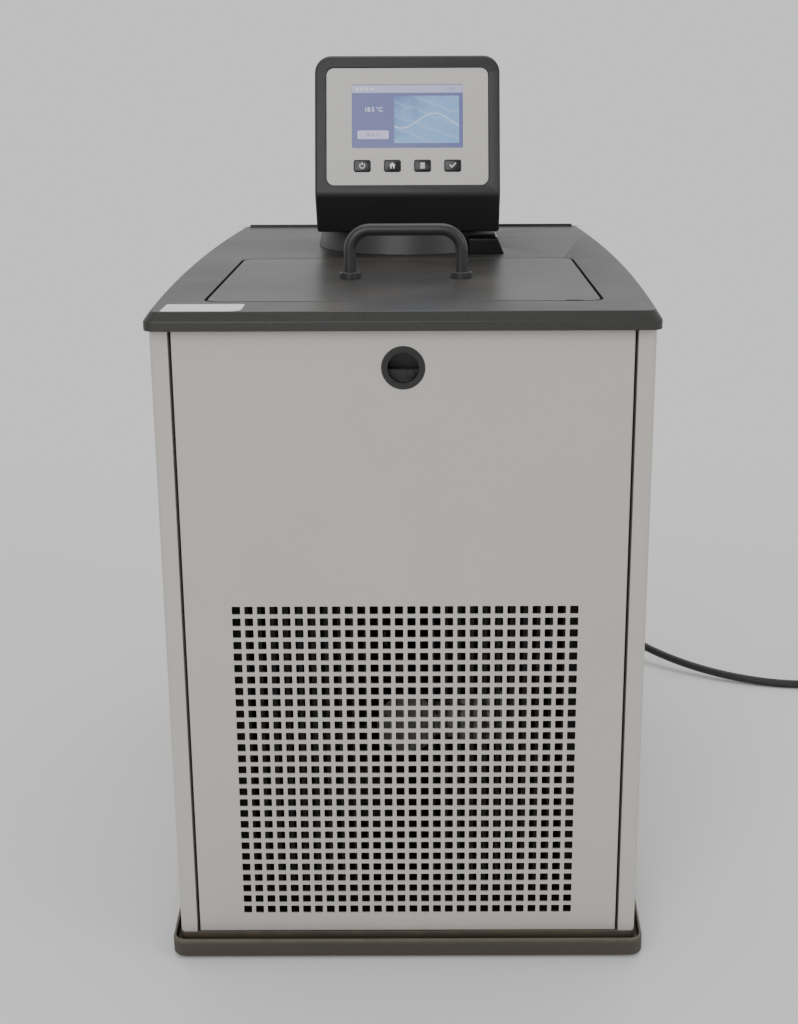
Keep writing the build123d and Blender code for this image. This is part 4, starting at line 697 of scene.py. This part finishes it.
# Control head: a front and a rear housing of charcoal plastic with a fine matt texture, joined behind the
# face.
head_plastic = surface(
    "head_plastic", tone(40, 38, 38), rough=0.45, grain=0.8, depth=0.02, fine=0.6, spread=0.08, dust=0.2
)
trued("head_front_shell", "head_front_housing", head_plastic, 0.5)
trued("head_rear_shell", "head_rear_housing", head_plastic, 0.4)

# Bezel: a light satin plate let into the face, with nothing printed on it.
bezel_paint = surface(
    "bezel_paint", tone(204, 202, 198), rough=0.32, grain=0.5, depth=0.006, fine=0.7, spread=0.02
)
trued("bezel_face", "bezel_plate", bezel_paint, 0.35)

# Display: a glass over a lit colour panel. Its picture is a plain one of its own: a strip along the top, a
# column with two readings, and a field with a trend line and soft ripples.
tilt = radians(16.5)
face_y, face_z = 12.5, 550.5
screen_width, screen_height, screen_up = 95.7, 55.0, 68.4


def on_face(across, up, out):
    """Places on the head's tilted face: up along it from its bend, and out along its normal."""
    return np.stack(
        [across, face_y + up * sin(tilt) - out * cos(tilt), face_z + up * cos(tilt) + out * sin(tilt)],
        axis=-1,
    )


field_effect, given, result = effect(
    "rounded_field",
    [
        ("Position", "NodeSocketVector", None),
        ("Middle", "NodeSocketVector", (0, 0, 0)),
        ("Half Size", "NodeSocketVector", (0, 0, 0)),
        ("Corner", "NodeSocketFloat", 1.0),
    ],
    ["Mask"],
)
from_middle = vector_node(field_effect, "SUBTRACT", given["Position"], given["Middle"])
folded = vector_node(field_effect, "ABSOLUTE", from_middle.outputs[0])
past_half = vector_node(field_effect, "SUBTRACT", folded.outputs[0], given["Half Size"])
past = vector_node(field_effect, "MAXIMUM", past_half.outputs[0], (0, 0, 0))
away = vector_node(field_effect, "LENGTH", past.outputs[0]).outputs["Value"]
inside = add_node(field_effect, "ShaderNodeMapRange", {"Value": away, "To Min": 1.0, "To Max": 0.0})
field_effect.links.new(math_node(field_effect, "ADD", given["Corner"], 0.15), inside.inputs["From Max"])
field_effect.links.new(math_node(field_effect, "SUBTRACT", given["Corner"], 0.15), inside.inputs["From Min"])
field_effect.links.new(inside.outputs["Result"], result["Mask"])

screen_picture = bpy.data.materials.new("screen_picture")
screen_picture.use_nodes = True
screen_tree = screen_picture.node_tree
screen_shader = screen_tree.nodes["Principled BSDF"]
screen_place = add_node(screen_tree, "ShaderNodeUVMap", uv_map="picture").outputs[0]
picture_place = vector_node(
    screen_tree, "MULTIPLY", screen_place, (screen_width, screen_height, 0.0)
).outputs[0]


def field(middle_x, middle_y, width, height, corner):
    """Mask of one rounded field of the picture, in millimetres from its lower left corner."""
    box = add_node(screen_tree, "ShaderNodeGroup", node_tree=field_effect)
    screen_tree.links.new(picture_place, box.inputs["Position"])
    box.inputs["Middle"].default_value = (middle_x, middle_y, 0.0)
    box.inputs["Half Size"].default_value = (width / 2 - corner, height / 2 - corner, 1.0)
    box.inputs["Corner"].default_value = corner
    return box.outputs["Mask"]


spot = add_node(screen_tree, "ShaderNodeSeparateXYZ", {0: picture_place}).outputs
slope = math_node(
    screen_tree, "MULTIPLY_ADD", spot["X"], 0.012, math_node(screen_tree, "MULTIPLY", spot["Y"], -0.011)
)
haze = add_node(screen_tree, "ShaderNodeTexNoise", {"Vector": picture_place, "Scale": 0.05, "Detail": 2.0})
lightness = math_node(screen_tree, "MULTIPLY_ADD", haze.outputs["Fac"], 0.9, slope)
view_colour = add_node(screen_tree, "ShaderNodeValToRGB", {0: lightness})
view_colour.color_ramp.elements[0].position = 0.25
view_colour.color_ramp.elements[0].color = tone(66, 100, 172)
view_colour.color_ramp.elements[1].position = 1.15 / 1.3
view_colour.color_ramp.elements[1].color = tone(126, 178, 232)
ripple_phase = math_node(
    screen_tree, "MULTIPLY_ADD", spot["X"], 0.21, math_node(screen_tree, "MULTIPLY", spot["Y"], 0.55)
)
ripple = math_node(
    screen_tree, "SINE", math_node(screen_tree, "MULTIPLY_ADD", haze.outputs["Fac"], 6.0, ripple_phase)
)
ripple_mask = add_node(
    screen_tree, "ShaderNodeMapRange", {"Value": ripple, "From Min": 0.55, "From Max": 1.0, "To Max": 0.25}
)
view_rippled = mixed(
    screen_tree, ripple_mask.outputs["Result"], view_colour.outputs["Color"], tone(196, 220, 246)
)
trend = math_node(
    screen_tree,
    "MULTIPLY_ADD",
    math_node(screen_tree, "SINE", math_node(screen_tree, "MULTIPLY", spot["X"], 0.11)),
    6.5,
    24.0,
)
off_trend = math_node(screen_tree, "ABSOLUTE", math_node(screen_tree, "SUBTRACT", spot["Y"], trend))
trend_mask = add_node(
    screen_tree,
    "ShaderNodeMapRange",
    {"Value": off_trend, "From Min": 0.3, "From Max": 0.7, "To Min": 0.8, "To Max": 0.0},
)
view_trended = mixed(screen_tree, trend_mask.outputs["Result"], view_rippled, tone(226, 236, 250))
picture = mixed(screen_tree, field(64.5, 25.0, 56.0, 41.0, 0.6), tone(94, 99, 160), view_trended)
picture = mixed(screen_tree, field(47.85, 51.6, 95.7, 6.8, 0.2), picture, tone(190, 190, 226))
picture = mixed(screen_tree, field(18.2, 11.8, 27.0, 7.4, 1.2), picture, tone(212, 202, 236))
for step in range(4):
    picture = mixed(screen_tree, field(4.5 + 4.2 * step, 51.7, 2.6, 2.6, 0.6), picture, tone(232, 230, 246))
screen_tree.links.new(picture, screen_shader.inputs["Emission Color"])
screen_shader.inputs["Emission Strength"].default_value = 0.92
screen_shader.inputs["Base Color"].default_value = tone(20, 22, 34)
screen_shader.inputs["Roughness"].default_value = 0.16
screen = plate(
    "screen_picture_panel",
    rounded_outline(
        -screen_width / 2,
        screen_width / 2,
        screen_up - screen_height / 2,
        screen_up + screen_height / 2,
        (0.8,) * 4,
    ),
    -2.19,
    -2.1,
    on_face,
    screen_picture,
)
picture_map = screen.data.uv_layers.new(name="picture")
loop_corner = np.empty(len(screen.data.loops), np.int32)
screen.data.loops.foreach_get("vertex_index", loop_corner)
corner_place = np.array([v.co for v in screen.data.vertices])[loop_corner] / mm
up_face = (corner_place[:, 1] - face_y) * sin(tilt) + (corner_place[:, 2] - face_z) * cos(tilt)
picture_uv = np.stack(
    [corner_place[:, 0] / screen_width + 0.5, (up_face - screen_up) / screen_height + 0.5], axis=-1
)
picture_map.data.foreach_set("uv", picture_uv.ravel())
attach(screen, "control_head")
display_black = surface("display_module", tone(16, 17, 22), rough=0.3, grain=0.6, depth=0.01)
coat(display_black, "display")


def figures(name, words, size, middle_x, base_up, out, material, body):
    """Plain figures set flat on the face: a text is made a mesh, centred, and then put in its place."""
    text = bpy.data.curves.new(name, "FONT")
    text.body = words
    text.size = size
    text.resolution_u = 3
    text.align_x = "CENTER"
    text.extrude = 0.03
    holder = bpy.data.objects.new(name, text)
    mesh = bpy.data.meshes.new_from_object(holder)
    bpy.data.objects.remove(holder)
    flat = np.empty(len(mesh.vertices) * 3, np.float32)
    mesh.vertices.foreach_get("co", flat)
    flat = flat.reshape(-1, 3)
    placed = on_face(flat[:, 0] + middle_x, flat[:, 1] + base_up, flat[:, 2] + out) * mm
    mesh.vertices.foreach_set("co", placed.ravel())
    mesh.name = name
    mesh.materials.clear()
    piece = made(name, mesh, material)
    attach(piece, body)
    return piece


def lit_ink(name, colour, strength):
    """Lit figures of the screen, faintly uneven like the panel's dots."""
    material = surface(name, colour, rough=0.4, grain=0.4, depth=0.0, spread=0.03)
    shader = material.node_tree.nodes["Principled BSDF"]
    source = shader.inputs["Base Color"].links[0].from_socket
    material.node_tree.links.new(source, shader.inputs["Emission Color"])
    shader.inputs["Emission Strength"].default_value = strength
    return material


screen_low = screen_up - screen_height / 2
pale_ink = lit_ink("screen_pale_figures", tone(214, 214, 240), 0.7)
dark_ink = lit_ink("screen_dark_figures", tone(104, 100, 150), 0.5)
figures("screen_reading", "18.5 °C", 5.2, -29.2, screen_low + 32.0, -2.08, pale_ink, "control_head")
figures("screen_target", "20.0 °C", 4.2, -29.6, screen_low + 10.4, -2.08, dark_ink, "control_head")
figures("screen_clock", "12:45", 3.6, 37.0, screen_low + 50.3, -2.08, dark_ink, "control_head")

# Keys: four small gloss black caps in the bezel, each with a white symbol printed on it.
key_black = surface("key_black", tone(20, 20, 21), rough=0.22, grain=0.5, depth=0.004, spread=0.06)
key_print = surface("key_print", tone(236, 236, 234), rough=0.45, grain=0.3, depth=0.003, spread=0.02)
key_row, cap_top = 25.3, 0.3
for key, key_x in (("power", -39.0), ("home", -13.0), ("list", 13.0), ("set", 39.0)):
    trued(f"key_{key}_cap", f"key_{key}", key_black, 0.25)


def symbol(name, outline, key_x, body):
    """One printed shape on a key's cap, from points about the key's middle."""
    shape = np.asarray(outline, float) + (key_x, key_row)
    piece = plate(name, shape, cap_top - 0.01, cap_top + 0.04, on_face, key_print)
    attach(piece, body)
    return piece


sweep = np.radians(np.linspace(125, 415, 33))
arc = np.stack([np.cos(sweep), np.sin(sweep)], axis=-1)
symbol("power_symbol_ring", np.concatenate([arc * 2.5, arc[::-1] * 1.8]), -39.0, "power_key")
symbol("power_symbol_bar", [(-0.35, 0.6), (0.35, 0.6), (0.35, 3.0), (-0.35, 3.0)], -39.0, "power_key")
symbol(
    "home_symbol",
    [
        (-1.9, -2.4),
        (-0.6, -2.4),
        (-0.6, -0.6),
        (0.6, -0.6),
        (0.6, -2.4),
        (1.9, -2.4),
        (1.9, 0.2),
        (2.9, 0.2),
        (0, 2.8),
        (-2.9, 0.2),
        (-1.9, 0.2),
    ],
    -13.0,
    "home_key",
)
for number in range(4):
    top = 2.5 - 1.35 * number
    symbol(
        f"list_symbol_{number + 1}",
        [(-1.9, top - 0.95), (1.9, top - 0.95), (1.9, top), (-1.9, top)],
        13.0,
        "list_key",
    )
symbol(
    "set_symbol",
    [(-2.9, 0.1), (-2.2, 0.8), (-0.8, -0.6), (2.3, 2.5), (3.0, 1.8), (-0.8, -2.0)],
    39.0,
    "set_key",
)

# Control board: a green circuit board on posts behind the display.
board_green = surface(
    "board_green", tone(30, 92, 52), rough=0.35, grain=3.0, depth=0.03, spread=0.3, patch=20
)
coat(board_green, "control_board")

# Pump: a motor in the head drives an impeller in a plastic drum at the foot of a slotted column in the bath.
motor_black = surface("motor_black", tone(40, 40, 42), rough=0.4, grain=0.9, depth=0.02)
pump_plastic = surface("pump_plastic", tone(62, 62, 65), rough=0.45, grain=0.8, depth=0.02)
shaft_steel = surface("shaft_steel", tone(190, 190, 188), rough=0.22, grain=0.5, depth=0.004, metal=1.0)
coat(motor_black, "pump_motor", "fan_motor")
coat(pump_plastic, "pump_housing")
coat(shaft_steel, "pump_rotor")

# Hoses: rubber tubes between the pump, the bath, the drain and the fittings.
hose_grey = surface("hose_grey", tone(150, 148, 144), rough=0.6, grain=0.9, depth=0.05, spread=0.08)
coat(hose_grey, "supply_tube", "return_tube", "drain_tube")

# Fittings: turned and plated spouts with a hexagon against the rear panel, and the rubber plug of the drain.
fitting_steel = surface("fitting_steel", tone(188, 186, 180), rough=0.24, grain=0.5, depth=0.005, metal=1.0)
trued("hose_spouts", "hose_fittings", fitting_steel, 0.3)
trued("drain_spout", "drain_fitting", fitting_steel, 0.3)
plug_black = surface("drain_plug_rubber", tone(26, 26, 26), rough=0.62, grain=0.7, depth=0.03)
trued("drain_stopper", "drain_plug", plug_black, 0.5)

# Refrigeration: a finned condenser behind the grille, coloured near-black as painted shade so the grille's
# holes read dark, its fan and shroud, a black welded compressor on rubber mounts, and copper lines with a
# drier.
# Painted shade: the condenser is near-black so the grille's holes look dark, standing in for the shade inside
# the cabinet.
condenser_shade_black = surface("condenser_shade_black", tone(24, 24, 25), rough=0.55, grain=1.2, depth=0.06, spread=0.15)
shroud_black = surface("shroud_black", tone(28, 28, 29), rough=0.5, grain=1.0, depth=0.02)
fan_aluminium = surface("fan_aluminium", tone(168, 168, 166), rough=0.35, grain=0.8, depth=0.01, metal=1.0)
copper_tube = surface(
    "copper_tube", tone(196, 128, 92), rough=0.3, grain=0.9, depth=0.01, spread=0.12, metal=1.0
)
coat(condenser_shade_black, "condenser")
coat(shroud_black, "fan_shroud")
coat(fan_aluminium, "fan_rotor")
coat(frame_paint, "compressor")
coat(foot_rubber, "compressor_grommets")
coat(copper_tube, "filter_drier", "refrigerant_lines", "suction_line")

# Power entry: a box behind the rear panel, and a circuit breaker with its rocker.
coat(frame_paint, "power_box")
breaker_black = surface("breaker_black", tone(28, 28, 29), rough=0.35, grain=0.6, depth=0.01)
trued("breaker_body", "circuit_breaker", breaker_black, 0.3)
trued("breaker_rocker_cap", "breaker_rocker", breaker_black, 0.2)

# Setting: a plain pale sweep that is floor in front and wall behind, lit by soft boxes. Seen directly or in a
# reflection the wall is evenly pale, and the floor keeps its shadows.
sweep_radius, wall_y, wall_top = 0.9, 1.7, 3.2
arc_angle = np.radians(np.linspace(0, 90, 25))
profile_y = np.concatenate([[-4.0, -1.0], wall_y - sweep_radius + sweep_radius * np.sin(arc_angle), [wall_y]])
profile_z = np.concatenate([[0.0, 0.0], sweep_radius * (1 - np.cos(arc_angle)), [wall_top]])
sweep_x = np.linspace(-5.0, 5.0, 3)
sweep_places = np.stack(
    [
        np.repeat(sweep_x, len(profile_y)),
        np.tile(profile_y, len(sweep_x)),
        np.tile(profile_z, len(sweep_x)),
    ],
    axis=-1,
)
across, along = np.meshgrid(np.arange(len(sweep_x) - 1), np.arange(len(profile_y) - 1), indexing="ij")
first = (across * len(profile_y) + along).ravel()
sweep_quads = np.stack([first, first + len(profile_y), first + len(profile_y) + 1, first + 1], axis=-1)
sweep_pale = surface(
    "sweep_pale", tone(240, 240, 240), rough=0.9, grain=3.0, depth=0.0, spread=0.004, patch=800
)
sweep_tree = sweep_pale.node_tree
sweep_shader = sweep_tree.nodes["Principled BSDF"]
sweep_shader.inputs["Specular IOR Level"].default_value = 0.0
path = add_node(sweep_tree, "ShaderNodeLightPath").outputs
seen = math_node(
    sweep_tree,
    "MAXIMUM",
    path["Is Camera Ray"],
    math_node(sweep_tree, "MAXIMUM", path["Is Glossy Ray"], path["Is Transmission Ray"]),
)
sweep_spot = add_node(
    sweep_tree, "ShaderNodeSeparateXYZ", {0: add_node(sweep_tree, "ShaderNodeTexCoord").outputs["Object"]}
).outputs
wall_share = add_node(
    sweep_tree,
    "ShaderNodeMapRange",
    {"Value": sweep_spot["Y"], "From Min": 0.35, "From Max": 1.1},
    interpolation_type="SMOOTHSTEP",
)
pale = add_node(sweep_tree, "ShaderNodeEmission", {"Color": tone(235, 236, 237), "Strength": 1.0})
output = sweep_tree.nodes["Material Output"]
sweep_mix = add_node(
    sweep_tree,
    "ShaderNodeMixShader",
    {
        0: math_node(sweep_tree, "MULTIPLY", seen, wall_share.outputs["Result"]),
        1: sweep_shader.outputs[0],
        2: pale.outputs[0],
    },
)
sweep_tree.links.new(sweep_mix.outputs[0], output.inputs["Surface"])
studio_sweep = solid("studio_sweep", sweep_places / mm, sweep_quads, sweep_pale)

world = bpy.data.worlds.new("studio")
bpy.context.scene.world = world
world.use_nodes = True
world.node_tree.nodes["Background"].inputs["Color"].default_value = tone(250, 250, 252)
world.node_tree.nodes["Background"].inputs["Strength"].default_value = 0.55


def soft_box(name, place, target, size, power):
    """A square soft lamp that looks at a target."""
    lamp = bpy.data.lights.new(name, "AREA")
    lamp.shape = "SQUARE"
    lamp.size = size
    lamp.energy = power
    holder = bpy.data.objects.new(name, lamp)
    toward = np.array(target) - np.array(place)
    toward = toward / np.linalg.norm(toward)
    holder.location = place
    holder.rotation_euler = (np.arccos(-toward[2]), 0.0, np.arctan2(-toward[0], toward[1]))
    bpy.context.collection.objects.link(holder)


soft_box("soft_box_front", (-0.7, -2.3, 1.5), (0, 0, 0.3), 1.6, 24.0)
soft_box("soft_box_right", (2.0, -1.2, 1.4), (0, 0, 0.3), 1.2, 9.0)
soft_box("soft_box_top", (0.0, 0.5, 2.4), (0, 0, 0.3), 1.8, 16.0)
